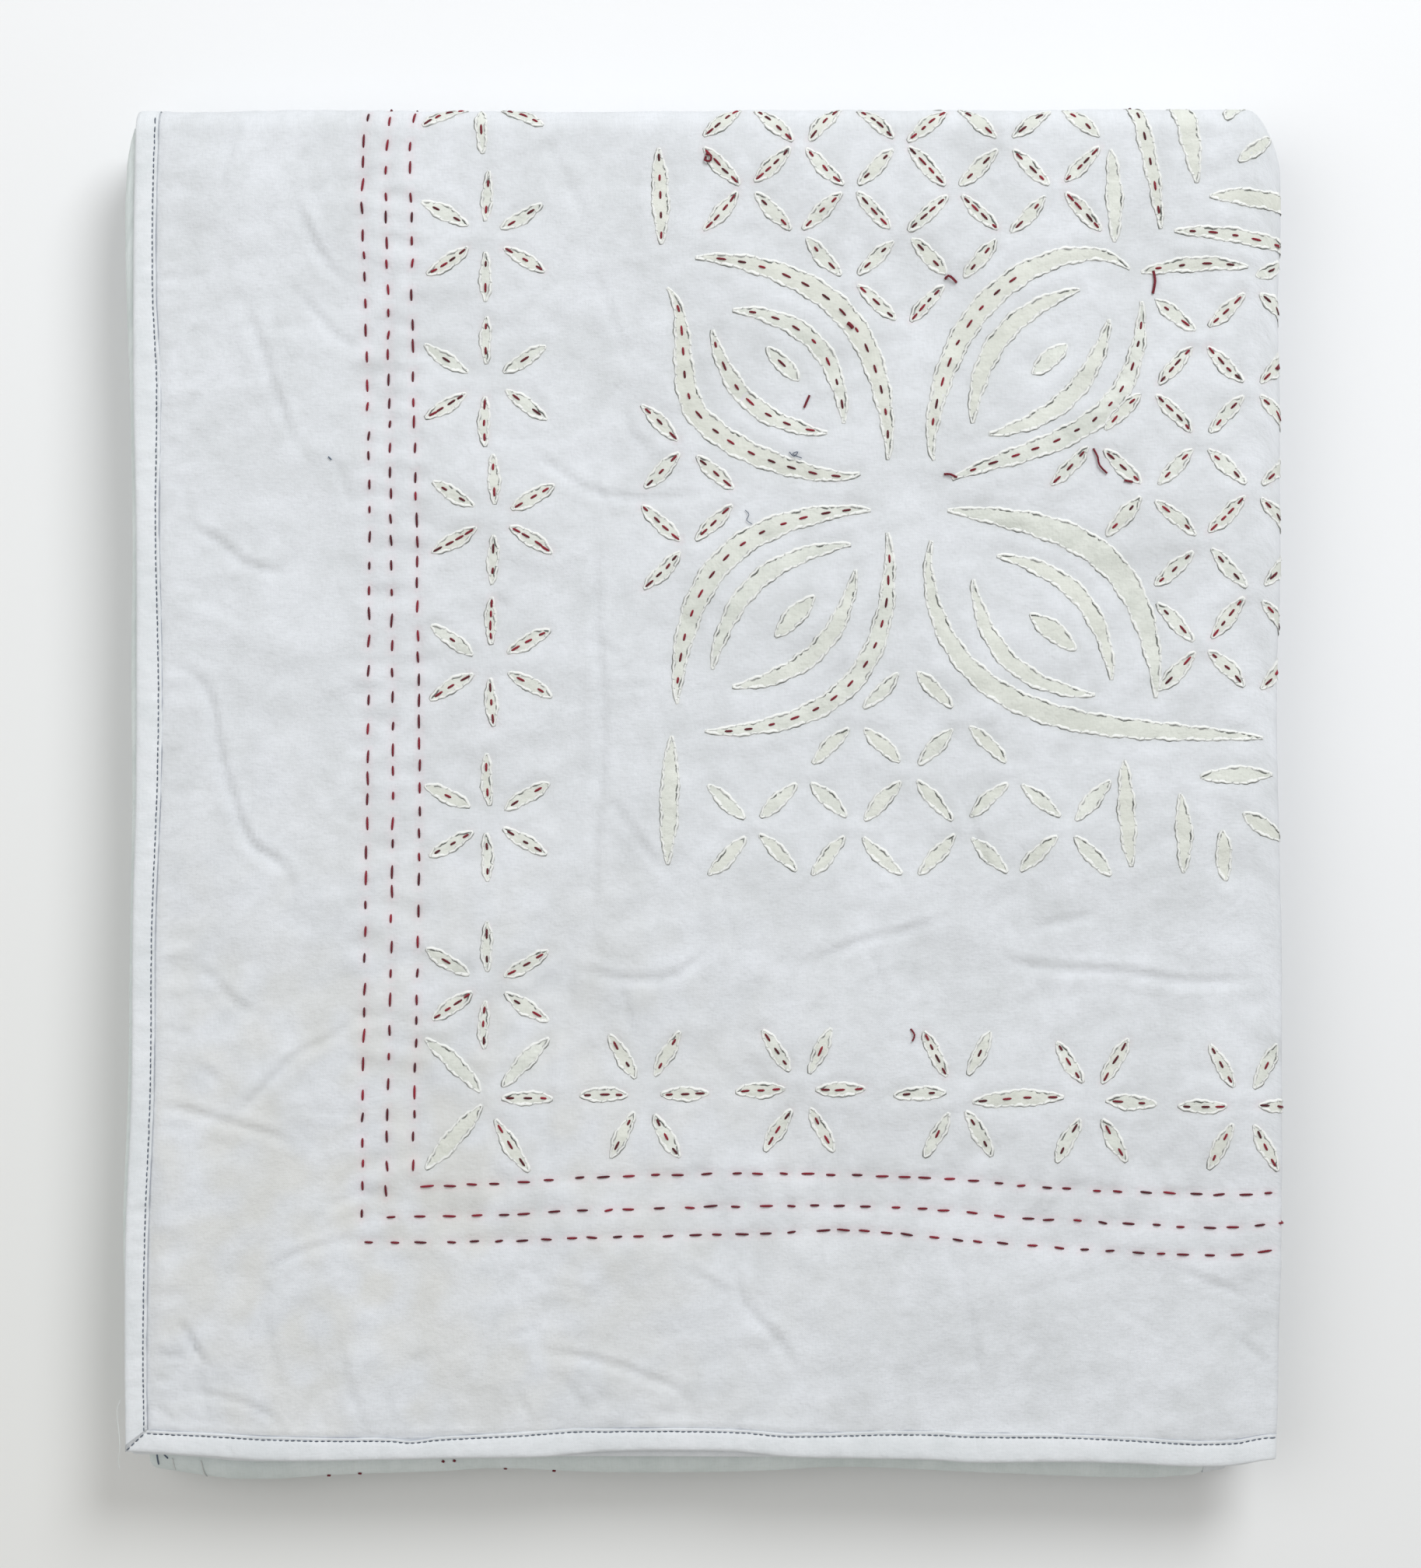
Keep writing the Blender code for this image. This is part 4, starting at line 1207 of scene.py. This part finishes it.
def binding_tape():
    """The tape round the rim, as one closed channel."""
    sides = rim_line()
    loops = []
    flats = []
    marks = []
    section = [tuple(at.values()) for at in TAPE.rows]
    rows = [(*place, 1) for place in reversed(section)] + [(*place, -1) for place in section]
    rows += [(inset, TAPE_INSIDE, -1) for inset in reversed(TAPE_HOLLOW)]
    rows += [(inset, TAPE_INSIDE, 1) for inset in TAPE_HOLLOW]
    for inset, rise, facing in rows:
        loop = rim_points(sides, inset, facing if rise > -0.0003 else 0)
        u, v = loop[:, 0], loop[:, 1]
        lift = tape_rise(u, v, inset, rise) if facing > 0 else min(rise, rise * 0.4)
        loops.append(folded(u, v, facing * (HALF_SHEET + lift)))
        outer = rim_points(sides, 0.0)
        run = distance_along(outer)
        flats.append(np.column_stack([run, np.full(len(run), facing * inset)]))
        # Painted shade in the crease along the tape's inner edge, on its face side
        marks.append(np.full(len(run), float(facing > 0 and inset > 0.0105)))
    faces = grid_faces(point_ids(len(rows), len(loops[0]), 1, 0))
    return np.concatenate(loops), faces, np.concatenate(flats), np.concatenate(marks)


def seam_places():
    """Flat starts and stops of the machine stitches where the tape is seen from above."""
    starts, stops = [], []
    for length, upright in ((LAYER_LEG + 0.002, False), (SECTION_LEG + 0.004, True)):
        seam = SIDE_SEAM if upright else FRONT_SEAM
        for place in np.arange(0.0095, length, SEAM_STITCH):
            ends = (place, place + SEAM_STITCH * rng.uniform(0.70, 0.86))
            insets = [float(seam_shift(seam, end, SEAM_INSET)) + rng.normal(0, 0.00007)
                      for end in ends]
            pair = list(zip(ends, insets))
            if upright:
                pair = [(b, a) for a, b in pair]
            starts.append(pair[0])
            stops.append(pair[1])
    furrow = len(starts)
    for k in range(4):
        near = 0.0008 + 0.0020 * k
        starts.append((near, near))
        stops.append((near + 0.0014, near + 0.0014))
    return np.array(starts), np.array(stops), furrow


def add_seam(build):
    """The machine stitches that hold the tape, laid in their furrow."""
    starts, stops, furrow = seam_places()
    rings, sides = 5, 5
    thick = SEAM_THREAD * np.array([0.5, 1.0, 1.05, 1.0, 0.5])
    lift = np.array([-0.00012, 0.00006, 0.00010, 0.00006, -0.00012])
    flat, height, faces = straight_stitches(
        starts, stops, np.linspace(0, 1, rings), thick, lift, sides)
    inset = flat.min(axis=1)
    on_tape = np.interp(inset, TAPE.column("inset"), TAPE.column("rise")) + 0.00008
    on_tape[:furrow * rings * sides] = -0.00002
    rise = tape_rise(flat[:, 0], flat[:, 1], inset, on_tape)
    points = folded(flat[:, 0], flat[:, 1], HALF_SHEET + rise + height)
    tones = rng.uniform(-1, 1, len(starts))
    build.add(points, flat, faces, np.repeat(tones, rings * sides))


# Shader kit

class Socket:
    """An output of a node; an expression on it adds the Math nodes."""

    def __init__(self, finish, socket):
        self.finish = finish
        self.socket = socket

    def math(self, operation, *values):
        node = self.finish.node("ShaderNodeMath", {"operation": operation},
                                dict(enumerate(values)))
        return self.finish.out(node)

    def __add__(self, other):
        return self.math("ADD", self, other)

    def __radd__(self, other):
        return self.math("ADD", other, self)

    def __sub__(self, other):
        return self.math("SUBTRACT", self, other)

    def __rsub__(self, other):
        return self.math("SUBTRACT", other, self)

    def __mul__(self, other):
        return self.math("MULTIPLY", self, other)

    def __rmul__(self, other):
        return self.math("MULTIPLY", other, self)

    def sine(self):
        return self.math("SINE", self)

    def size(self):
        return self.math("ABSOLUTE", self)

    def held(self):
        """Kept between 0 and 1."""
        return self.finish.out(self.finish.node(
            "ShaderNodeClamp", {}, {"Value": self, "Min": 0.0, "Max": 1.0}))


class Finish:
    """A material and its nodes."""

    MIX_FACTOR, MIX_A, MIX_B, MIX_OUT = 0, 6, 7, 2

    def __init__(self, name, roughness, sheen=0.0):
        self.material = bpy.data.materials.new(name)
        self.material.use_nodes = True
        self.tree = self.material.node_tree
        self.surface = self.tree.nodes["Principled BSDF"]
        self.surface.inputs["Roughness"].default_value = roughness
        self.surface.inputs["Specular IOR Level"].default_value = 0.25
        self.surface.inputs["Sheen Weight"].default_value = sheen
        self.surface.inputs["Sheen Roughness"].default_value = 0.5

    def node(self, kind, settings, sockets):
        """A new node: its settings are set first, then its values or links."""
        node = self.tree.nodes.new(kind)
        for name, value in settings.items():
            if name == "stops":
                ramp = node.color_ramp
                while len(ramp.elements) < len(value):
                    ramp.elements.new(1.0)
                for element, (place, shade) in zip(ramp.elements, value):
                    element.position = place
                    element.color = (shade, shade, shade, 1.0)
            else:
                setattr(node, name, value)
        for name, value in sockets.items():
            if isinstance(value, Socket):
                self.tree.links.new(value.socket, node.inputs[name])
            else:
                node.inputs[name].default_value = value
        return node

    def out(self, node, name=0):
        return Socket(self, node.outputs[name])

    def places(self, name="sheet"):
        return self.out(self.node("ShaderNodeUVMap", {"uv_map": name}, {}))

    def mark(self, name):
        return self.out(self.node("ShaderNodeAttribute", {"attribute_name": name}, {}), "Fac")

    def noise(self, places, scale, detail=2.0, roughness=0.5):
        return self.out(self.node("ShaderNodeTexNoise", {}, {
            "Vector": places, "Scale": scale, "Detail": detail, "Roughness": roughness}))

    def stepped(self, value, stops):
        return self.out(self.node("ShaderNodeValToRGB", {"stops": stops}, {"Fac": value}))

    def blend(self, factor, first, second):
        node = self.node("ShaderNodeMix", {"data_type": "RGBA"}, {
            self.MIX_FACTOR: factor, self.MIX_A: first, self.MIX_B: second})
        return self.out(node, self.MIX_OUT)

    def parts(self, places):
        """The first two numbers of places."""
        node = self.node("ShaderNodeSeparateXYZ", {}, {"Vector": places})
        return self.out(node, "X"), self.out(node, "Y")

    def colour(self, value):
        self.node_link(value, "Base Color")

    def tint(self, factor, shade):
        """Blends the colour so far towards a shade."""
        so_far = Socket(self, self.surface.inputs["Base Color"].links[0].from_socket)
        self.colour(self.blend(factor, so_far, srgb(*shade)))

    def bump(self, height, distance, strength=1.0):
        normal = self.out(self.node("ShaderNodeBump", {}, {
            "Height": height, "Distance": distance, "Strength": strength}))
        self.node_link(normal, "Normal")

    def node_link(self, value, name):
        self.tree.links.new(value.socket, self.surface.inputs[name])


def srgb(red, green, blue):
    """A colour of the render, as the shader takes it."""
    def linear(level):
        share = level / 255
        return share / 12.92 if share <= 0.04045 else ((share + 0.055) / 1.055) ** 2.4
    return (linear(red), linear(green), linear(blue), 1.0)


def weave(finish, places, pitch):
    """Height of a plain weave with threads of that pitch."""
    across, along = finish.parts(places)
    return (across * (math.pi / pitch)).sine() * (along * (math.pi / pitch)).sine()


SLUB_STRETCH = 0.16
WEAVE_PITCH = 0.00042


def cotton(name, pale, dull, roughness, mottle, grain, crumple=1.6):
    """Washed cotton: broad cloudy marks, fine slubs, small crumples and a plain weave."""
    finish = Finish(name, roughness, 0.08)
    places = finish.places()
    clouds = finish.noise(places, 26.0, 3.0, 0.55)
    patches = finish.noise(places, 90.0, 3.0, 0.6)
    cloudy = finish.stepped(clouds * 0.55 + patches * 0.45, ((0.38, 0.0), (0.66, 1.0)))
    along, across = (
        finish.out(finish.node("ShaderNodeVectorMath", {"operation": "MULTIPLY"},
                               {0: places, 1: stretch}))
        for stretch in ((SLUB_STRETCH, 1.0, 1.0), (1.0, SLUB_STRETCH, 1.0))
    )
    slubs = (finish.noise(along, 1300.0, 2.0, 0.6) * 0.5
             + finish.noise(across, 1300.0, 2.0, 0.6) * 0.5)
    colour = finish.blend(cloudy * mottle, srgb(*pale), srgb(*dull))
    shade = finish.blend((slubs - 0.45) * grain, colour, srgb(*(0.80 * c for c in dull)))
    finish.colour(shade)
    fine = finish.noise(places, 420.0, 3.0, 0.6)
    rumple = (finish.noise(places, 72.0, 4.0, 0.62) - 0.5).size()
    threads = weave(finish, places, WEAVE_PITCH)
    finish.bump(rumple * crumple + fine * 0.42 + slubs * 0.20 + threads * 0.05, 0.00060, 0.80)
    return finish


def face_cotton():
    """The face cloth, with a faint pink halo where red thread goes through, and painted shade
    beside the openings.
    """
    finish = cotton("face_cotton", (222, 225, 230), (207, 210, 213), 0.92, 0.9, 0.7, 2.0)
    finish.tint(finish.mark("warm") * 0.34, (208, 204, 190))
    # Painted shade on the cloth beside each opening's hem
    finish.tint(finish.mark("by_opening") * 0.22, (196, 199, 194))
    finish.tint(finish.mark("halo") * 0.20, (226, 178, 186))
    return finish.material


def underlay_cotton():
    """The cream cloth that shows in the openings."""
    finish = cotton("underlay_cotton", (226, 229, 223), (203, 207, 200), 0.94, 1.0, 0.9, 3.8)
    finish.tint((finish.mark("tone") * 0.25 + 0.25).held(), (215, 216, 207))
    return finish.material


def hem_cotton():
    """The turned edge of the face cloth, lighter than the face as a painted highlight on its raised
    rim, with painted shade and some soil in the creases at its feet.
    """
    # A lighter copy of the face cotton: painted highlight on the raised rim
    finish = cotton("hem_cotton", (236, 237, 235), (224, 226, 223), 0.9, 0.6, 0.4)
    # Painted shade, with some soil, at the lip's feet, carried in its tone
    finish.tint(finish.mark("tone") * 0.95, (74, 78, 72))
    return finish.material


def thread_finish(name, light, dark, twist, roughness):
    """Two-ply thread whose plies wind round it, with painted shade in the grooves between them."""
    finish = Finish(name, roughness, 0.2)
    along, around = finish.parts(finish.places())
    turn = 2 * math.pi / twist
    plies = (along * turn + around * turn).sine() * 0.5 + 0.5
    # Painted shade: darker where the plies' bump is low, in the grooves, with a random tone
    bright = (plies * 0.5 + finish.mark("tone") * 0.4 + 0.1).held()
    finish.colour(finish.blend(bright, srgb(*dark), srgb(*light)))
    finish.bump(plies, 0.0002, 0.8)
    return finish.material


def floor_finish():
    """A smooth pale board, with painted shade darkening it towards the lower left."""
    finish = Finish("floor_board", 0.7)
    places = finish.out(finish.node("ShaderNodeTexCoord", {}, {}), "Object")
    clouds = finish.noise(places, 3.0, 2.0, 0.5)
    across, away = finish.parts(places)
    # Painted shade: the board darkens towards the lower left
    towards = across * -0.9 - away * 1.3
    finish.colour(finish.blend(clouds, srgb(238, 239, 241), srgb(235, 236, 238)))
    finish.tint((towards + 0.30).held() * 0.55, (214, 214, 209))
    finish.bump(finish.noise(places, 400.0, 2.0, 0.5), 0.0001, 0.2)
    return finish.material


def as_piece(name, build, materials, sides=None):
    """A mesh object from gathered points and faces."""
    points = np.concatenate(build.points)
    flat = np.concatenate(build.flat)
    marks = np.concatenate(build.marks)
    mesh = bpy.data.meshes.new(name)
    mesh.from_pydata(points.tolist(), [], build.faces)
    layer = mesh.uv_layers.new(name="sheet")
    corners = np.empty(len(mesh.loops), dtype=np.int32)
    mesh.loops.foreach_get("vertex_index", corners)
    layer.data.foreach_set("uv", flat[corners].astype(np.float32).ravel())
    tone = mesh.attributes.new("tone", "FLOAT", "POINT")
    tone.data.foreach_set("value", marks.astype(np.float32))
    for material in materials:
        mesh.materials.append(material)
    if sides is not None:
        mesh.polygons.foreach_set("material_index", sides)
    mesh.shade_smooth()
    mesh.update()
    piece = bpy.data.objects.new(name, mesh)
    bpy.context.scene.collection.objects.link(piece)
    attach(piece, "root")
    return piece


def add_mark(piece, name, values):
    """Numbers at a piece's points for its material."""
    mark = piece.data.attributes.new(name, "FLOAT", "POINT")
    mark.data.foreach_set("value", values.astype(np.float32))


def halo_at(relief, reds):
    """How near each point of the top mesh is to a red stitch."""
    grid_u, grid_v = np.meshgrid(relief["u"], relief["v"], indexing="ij")
    x, y = to_plan(grid_u, grid_v)
    halo = np.zeros_like(x)
    x_line, y_line = x[:, len(relief["v"]) // 2], y[len(relief["u"]) // 2]
    for starts, stops in reds:
        for place in (starts, (starts + stops) / 2, stops):
            for px, py in place:
                i0, i1 = np.searchsorted(x_line, (px - 0.008, px + 0.008))
                j0, j1 = np.searchsorted(y_line, (py - 0.008, py + 0.008))
                window = (slice(i0, i1), slice(j0, j1))
                away = (x[window] - px) ** 2 + (y[window] - py) ** 2
                halo[window] = np.maximum(halo[window], np.exp(-away / 0.0018 ** 2))
    return halo


def make_quilt(openings, reds):
    """The quilt itself and its relief."""
    fine_u = np.array(fine_stations(RIM_PLACES[-1], LAYER_LEG, LAYER_TURN, 6))
    fine_v = np.array(fine_stations(RIM_PLACES[-1], SECTION_LEG, SECTION_TURN, 14))
    grid_u, grid_v = np.meshgrid(fine_u, fine_v, indexing="ij")
    height, closeness = cloth_relief(grid_u, grid_v, openings)
    relief = {"u": fine_u, "v": fine_v, "height": height}
    points, faces, flat, sides = quilt_sheet(relief)
    build = Build()
    build.points, build.flat, build.marks = [points], [flat], [np.zeros(len(points))]
    build.faces = [list(map(int, face)) for face in faces]
    back = cotton("back_cotton", (226, 233, 233), (208, 217, 216), 0.94, 1.0, 0.6)
    piece = as_piece("quilt_cloth", build, [face_cotton(), back.material], sides)
    rest = len(points) - grid_u.size
    halo = np.concatenate([np.zeros(rest), halo_at(relief, reds).ravel()])
    # Painted shade close to the openings' hems, fading out over HEM_SHADE
    by_opening = np.concatenate([np.zeros(rest), np.clip(1 - closeness, 0, 1).ravel()])
    add_mark(piece, "halo", halo)
    add_mark(piece, "by_opening", by_opening)
    x, y = to_plan(grid_u, grid_v)
    lower_left = np.exp(-((x + 0.15) / 0.15) ** 2 - ((y + 0.18) / 0.12) ** 2)
    warm = lower_left * np.clip(0.5 + 0.3 * ripple(x, y, 0.060, 31) + 0.3 * ripple(x, y, 0.020, 32),
                                0, 1)
    add_mark(piece, "warm", np.concatenate([np.zeros(rest), warm.ravel()]))
    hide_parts("quilt")
    return piece, relief


def make_binding():
    """The bound edge, with its machine stitches as a piece of their own."""
    points, faces, flat, marks = binding_tape()
    build = Build()
    build.add(points, flat, faces, marks)
    finish = cotton("tape_cotton", (226, 229, 233), (212, 217, 220), 0.88, 0.8, 0.5)
    # Painted shade along the tape's inner edge, broken up by noise
    broken_shade = finish.stepped(finish.noise(finish.places(), 55.0, 2.0, 0.5),
                            ((0.40, 0.15), (0.60, 1.0)))
    finish.tint(finish.mark("tone") * broken_shade * 0.65, (128, 134, 150))
    tape = as_piece("bound_edge", build, [finish.material])
    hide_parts("binding")
    seam = Build()
    add_seam(seam)
    # Blue-grey thread, made darker than the pale thread itself as painted shade of its furrow and
    # needle holes
    thread = thread_finish("seam_thread", (122, 130, 144), (76, 84, 98), 0.0012, 0.7)
    return [tape, as_piece("seam_stitches", seam, [thread])]


def make_openings(groups, relief):
    """Underlays, turned edges and hem stitches of the openings, group by group."""
    cream = underlay_cotton()
    lip_cotton = hem_cotton()
    white = thread_finish("hem_thread", (238, 240, 240), (206, 210, 208), 0.0009, 0.7)
    pieces = []
    for name, openings in groups.items():
        underlay, lips, hems = Build(), Build(), Build()
        for opening in openings:
            for section in sections_of(opening):
                add_underlay(underlay, relief, opening, section)
                add_lip(lips, relief, opening, section)
                starts, stops = hem_stitches(opening)
                add_threads(hems, relief, starts, stops, WHITE_THREAD, LIP_RISE * 0.95, section,
                            sides=4, rings=4)
        pieces.append(as_piece(f"{name}_underlay", underlay, [cream]))
        pieces.append(as_piece(f"{name}_turned_edges", lips, [lip_cotton]))
        pieces.append(as_piece(f"{name}_hem_stitches", hems, [white]))
    return pieces


def sections_of(opening):
    """The sections that an opening shows on: the top, and the lower far fold if it is there."""
    low, high = opening.line[:, 1].min(), opening.line[:, 1].max()
    turn = FAR_END - SECTION_BEND
    sections = [0] if (low + high) / 2 < turn + SECTION_ROUND - 0.004 else []
    if low > turn - 0.012 and high < turn + 0.75 * SECTION_ROUND and sections:
        sections.append(2)
    return sections


LOOSE_RED = (
    (((1216, 356), (1220, 352), (1226, 356), (1231, 361)), (0.5, 1.5, 1.4, 0.6), 0.55),
    (((1485, 345), (1487, 358), (1484, 375)), (0.4, 1.3, 0.5), 0.60),
    (((1406, 576), (1411, 586), (1414, 598), (1424, 608)), (0.5, 1.3, 1.2, 0.8), 0.45),
    (((1446, 617), (1457, 619)), (0.7, 0.7), 0.50),
    (((1214, 609), (1222, 609), (1231, 613)), (0.6, 1.1, 0.6), 0.50),
    (((1090, 413), (1094, 416), (1097, 420)), (0.7, 1.2, 0.7), 0.85),
    (((907, 195), (914, 197), (913, 204), (906, 203), (908, 198)), (0.6, 1.4, 1.5, 1.3, 1.0),
     0.50),
    (((1170, 1322), (1175, 1330), (1172, 1338)), (0.4, 1.2, 0.7), 0.40),
    (((1034, 523), (1041, 507)), (0.6, 0.9), 0.50),
)
LOOSE_GREY = (
    (((1015, 580), (1021, 586), (1026, 580), (1019, 583), (1031, 588)),
     (0.5, 1.2, 1.0, 1.3, 0.7), 0.20),
    (((958, 655), (963, 661), (960, 668), (967, 673)), (0.5, 1.0, 0.8, 0.6), 0.16),
    (((421, 586), (425, 590)), (0.4, 0.6), 0.30),
)


def loose_threads(name, rows, relief, material):
    """Thread ends and fibres that lie loose on the cloth."""
    build = Build()
    for pixels, heights, radius in rows:
        add_line_thread(build, relief, from_pixels(pixels), np.array(heights) * MM, radius * MM)
    return as_piece(name, build, [material])


# Bits on the front of the lower folds: place across, from and to as shares of the way round the
# fold, width in millimetres
FOLD_COLUMNS = ("x", "from", "to", "across")
FOLD_REDS = Table(
    FOLD_COLUMNS,
    (-0.1641, 0.39, 0.41, 1.2),
    (-0.1504, 0.35, 0.37, 1.2),
    (-0.1136, 0.14, 0.16, 1.0),
    (-0.1087, 0.14, 0.16, 1.0),
    (-0.0867, 0.40, 0.42, 1.1),
    (-0.0654, 0.40, 0.42, 1.1),
)
FOLD_GREYS = Table(
    FOLD_COLUMNS,
    (-0.2385, 0.03, 0.26, 0.5),
    (-0.2350, 0.06, 0.13, 2.2),
)
FOLD_WHITES = Table(
    FOLD_COLUMNS,
    (-0.2315, 0.12, 0.36, 0.6),
    (-0.2185, 0.08, 0.46, 1.5),
)
# A frayed end at the front left corner
FRAYED_END = ((-0.2530, -0.2630, 0.0402), (-0.2546, -0.2690, 0.0396), (-0.2537, -0.2780, 0.0392),
              (-0.2534, -0.2850, 0.0390), (-0.2542, -0.2900, 0.0380), (-0.2537, -0.2935, 0.0370))


# A direction that no thread end lies along
NEARLY_UP = (0.13, 0.21, 0.97)


def on_front_fold(x, share, lift):
    """World points on the outside of the lower front fold."""
    v = 2 * SECTION_LEG + SECTION_TURN * (1 + share)
    left, right = side_ends(v)[2:]
    u = 2 * (LAYER_LEG + LAYER_TURN) + LAYER_LEG * (x - left) / (right - left)
    return folded(u, v, -HALF_SHEET - lift)


def add_tube(build, line, radius, sides=6):
    """A round thread along a line of world points."""
    ahead = np.gradient(line, axis=0)
    side = unit(np.cross(ahead, NEARLY_UP))
    up = unit(np.cross(side, ahead))
    turn = turn_round(sides)
    rows = [line + radius * (side * math.cos(a) + up * math.sin(a)) for a in turn]
    run = distance_along(line)
    flat = [np.column_stack([run, np.full(len(run), radius * a)]) for a in turn]
    build.add(np.concatenate(rows), np.concatenate(flat), strip_faces(sides, len(line), 0))


def fold_threads(name, table, radius, material, extra=None):
    """Short threads on the lower front fold."""
    build = Build()
    for at in table.rows:
        share = np.linspace(at["from"], at["to"], 7)
        x = at["x"] + at["across"] * MM * np.linspace(-0.5, 0.5, 7)
        add_tube(build, on_front_fold(x, share, 0.4 * radius), radius)
    if extra:
        corners = np.array(extra)
        places = np.linspace(0, len(corners) - 1, 25)
        line = [curve_through(np.arange(len(corners)), corners[:, k], places) for k in range(3)]
        add_tube(build, np.stack(line, axis=-1), radius)
    return as_piece(name, build, [material])


def make_reds(reds, relief):
    """All the red running stitches and the loose red ends."""
    red = thread_finish("red_thread", (164, 22, 48), (64, 8, 22), 0.0011, 0.65)
    build = Build()
    for starts, stops in reds:
        middles = (starts[:, 1] + stops[:, 1]) / 2
        side = (starts[:, 0] + stops[:, 0]) / 2
        turn = FAR_END - SECTION_BEND
        on_top = (middles < turn + SECTION_ROUND - 0.003) & (side < 0.2479 + LAYER_ROUND * 0.8)
        add_threads(build, relief, starts[on_top], stops[on_top], RED_THREAD, RED_ARCH)
        below = on_top & (middles > turn + 0.001) & (middles < turn + 0.6 * SECTION_ROUND)
        add_threads(build, relief, starts[below], stops[below], RED_THREAD, RED_ARCH, section=2)
    pieces = [as_piece("red_running_stitches", build, [red])]
    pieces.append(loose_threads("loose_red_ends", LOOSE_RED, relief, red))
    pieces.append(fold_threads("red_ends_on_fold", FOLD_REDS, 0.00055, red))
    white = thread_finish("white_thread_end", (236, 238, 238), (206, 210, 208), 0.0009, 0.7)
    pieces.append(fold_threads("white_ends", FOLD_WHITES, 0.00030, white, FRAYED_END))
    grey = thread_finish("grey_fibre", (116, 128, 148), (72, 84, 104), 0.0008, 0.8)
    pieces.append(fold_threads("grey_ends_on_fold", FOLD_GREYS, 0.00034, grey))
    pieces.append(loose_threads("loose_grey_fibres", LOOSE_GREY, relief, grey))
    return pieces


# Camera, floor and light

CAMERA_AWAY = 1.60
CAMERA_TILT = 88.3
FRAME_HEIGHT = 0.683
AIM = (0.0032, 0.0041, 0.0430)
SENSOR_HEIGHT = 24.0


def add_camera():
    """Looks almost straight down, from a little to the front."""
    data = bpy.data.cameras.new("camera")
    data.sensor_fit = "VERTICAL"
    data.sensor_height = SENSOR_HEIGHT
    data.lens = SENSOR_HEIGHT * CAMERA_AWAY / FRAME_HEIGHT
    camera = bpy.data.objects.new("camera", data)
    tilt = math.radians(CAMERA_TILT)
    away = Vector((0.0, -math.cos(tilt), math.sin(tilt))) * CAMERA_AWAY
    camera.location = Vector(AIM) + away
    camera.rotation_euler = (math.radians(90) - tilt, 0.0, 0.0)
    bpy.context.scene.collection.objects.link(camera)
    bpy.context.scene.camera = camera


LIGHTS = Table(
    ("name", "x", "y", "z", "size", "watts", "colour"),
    ("key", 1.15, 1.95, 2.15, 1.50, 60.0, (0.955, 0.980, 1.0)),
    ("fill", -1.35, 0.30, 2.20, 2.40, 18.0, (0.97, 0.985, 1.0)),
)
SKY = (1.0, 0.978, 0.935, 1.0)
SKY_STRENGTH = 0.46
FLOOR_REACH = 3.0
FLOOR_LEVEL = -0.0002


def add_lights():
    """One soft key light from the far right, a wide fill and a pale sky."""
    for at in LIGHTS.rows:
        data = bpy.data.lights.new(at["name"], "AREA")
        data.shape = "DISK"
        data.size = at["size"]
        data.energy = at["watts"]
        data.color = at["colour"]
        lamp = bpy.data.objects.new(at["name"], data)
        lamp.location = (at["x"], at["y"], at["z"])
        aim = Vector((0, 0, 0)) - Vector(lamp.location)
        lamp.rotation_euler = aim.to_track_quat("-Z", "Y").to_euler()
        bpy.context.scene.collection.objects.link(lamp)
    world = bpy.data.worlds.new("sky")
    world.use_nodes = True
    world.node_tree.nodes["Background"].inputs["Color"].default_value = SKY
    world.node_tree.nodes["Background"].inputs["Strength"].default_value = SKY_STRENGTH
    bpy.context.scene.world = world
    bpy.context.scene.view_settings.view_transform = "Standard"


def add_floor():
    """A wide pale board under the quilt."""
    mesh = bpy.data.meshes.new("floor")
    corners = ((-1, -1), (1, -1), (1, 1), (-1, 1))
    mesh.from_pydata([(FLOOR_REACH * x, FLOOR_REACH * y, FLOOR_LEVEL) for x, y in corners], [],
                     [(0, 1, 2, 3)])
    mesh.materials.append(floor_finish())
    floor = bpy.data.objects.new("floor", mesh)
    bpy.context.scene.collection.objects.link(floor)


def main():
    add_camera()
    add_lights()
    add_floor()
    groups = all_openings()
    openings = [opening for group in groups.values() for opening in group]
    reds = [red_stitches(opening) for opening in openings]
    reds += [row_stitches(row) for row in RED_ROWS]
    quilt, relief = make_quilt(openings, reds)
    pieces = make_binding() + make_openings(groups, relief) + make_reds(reds, relief)


main()
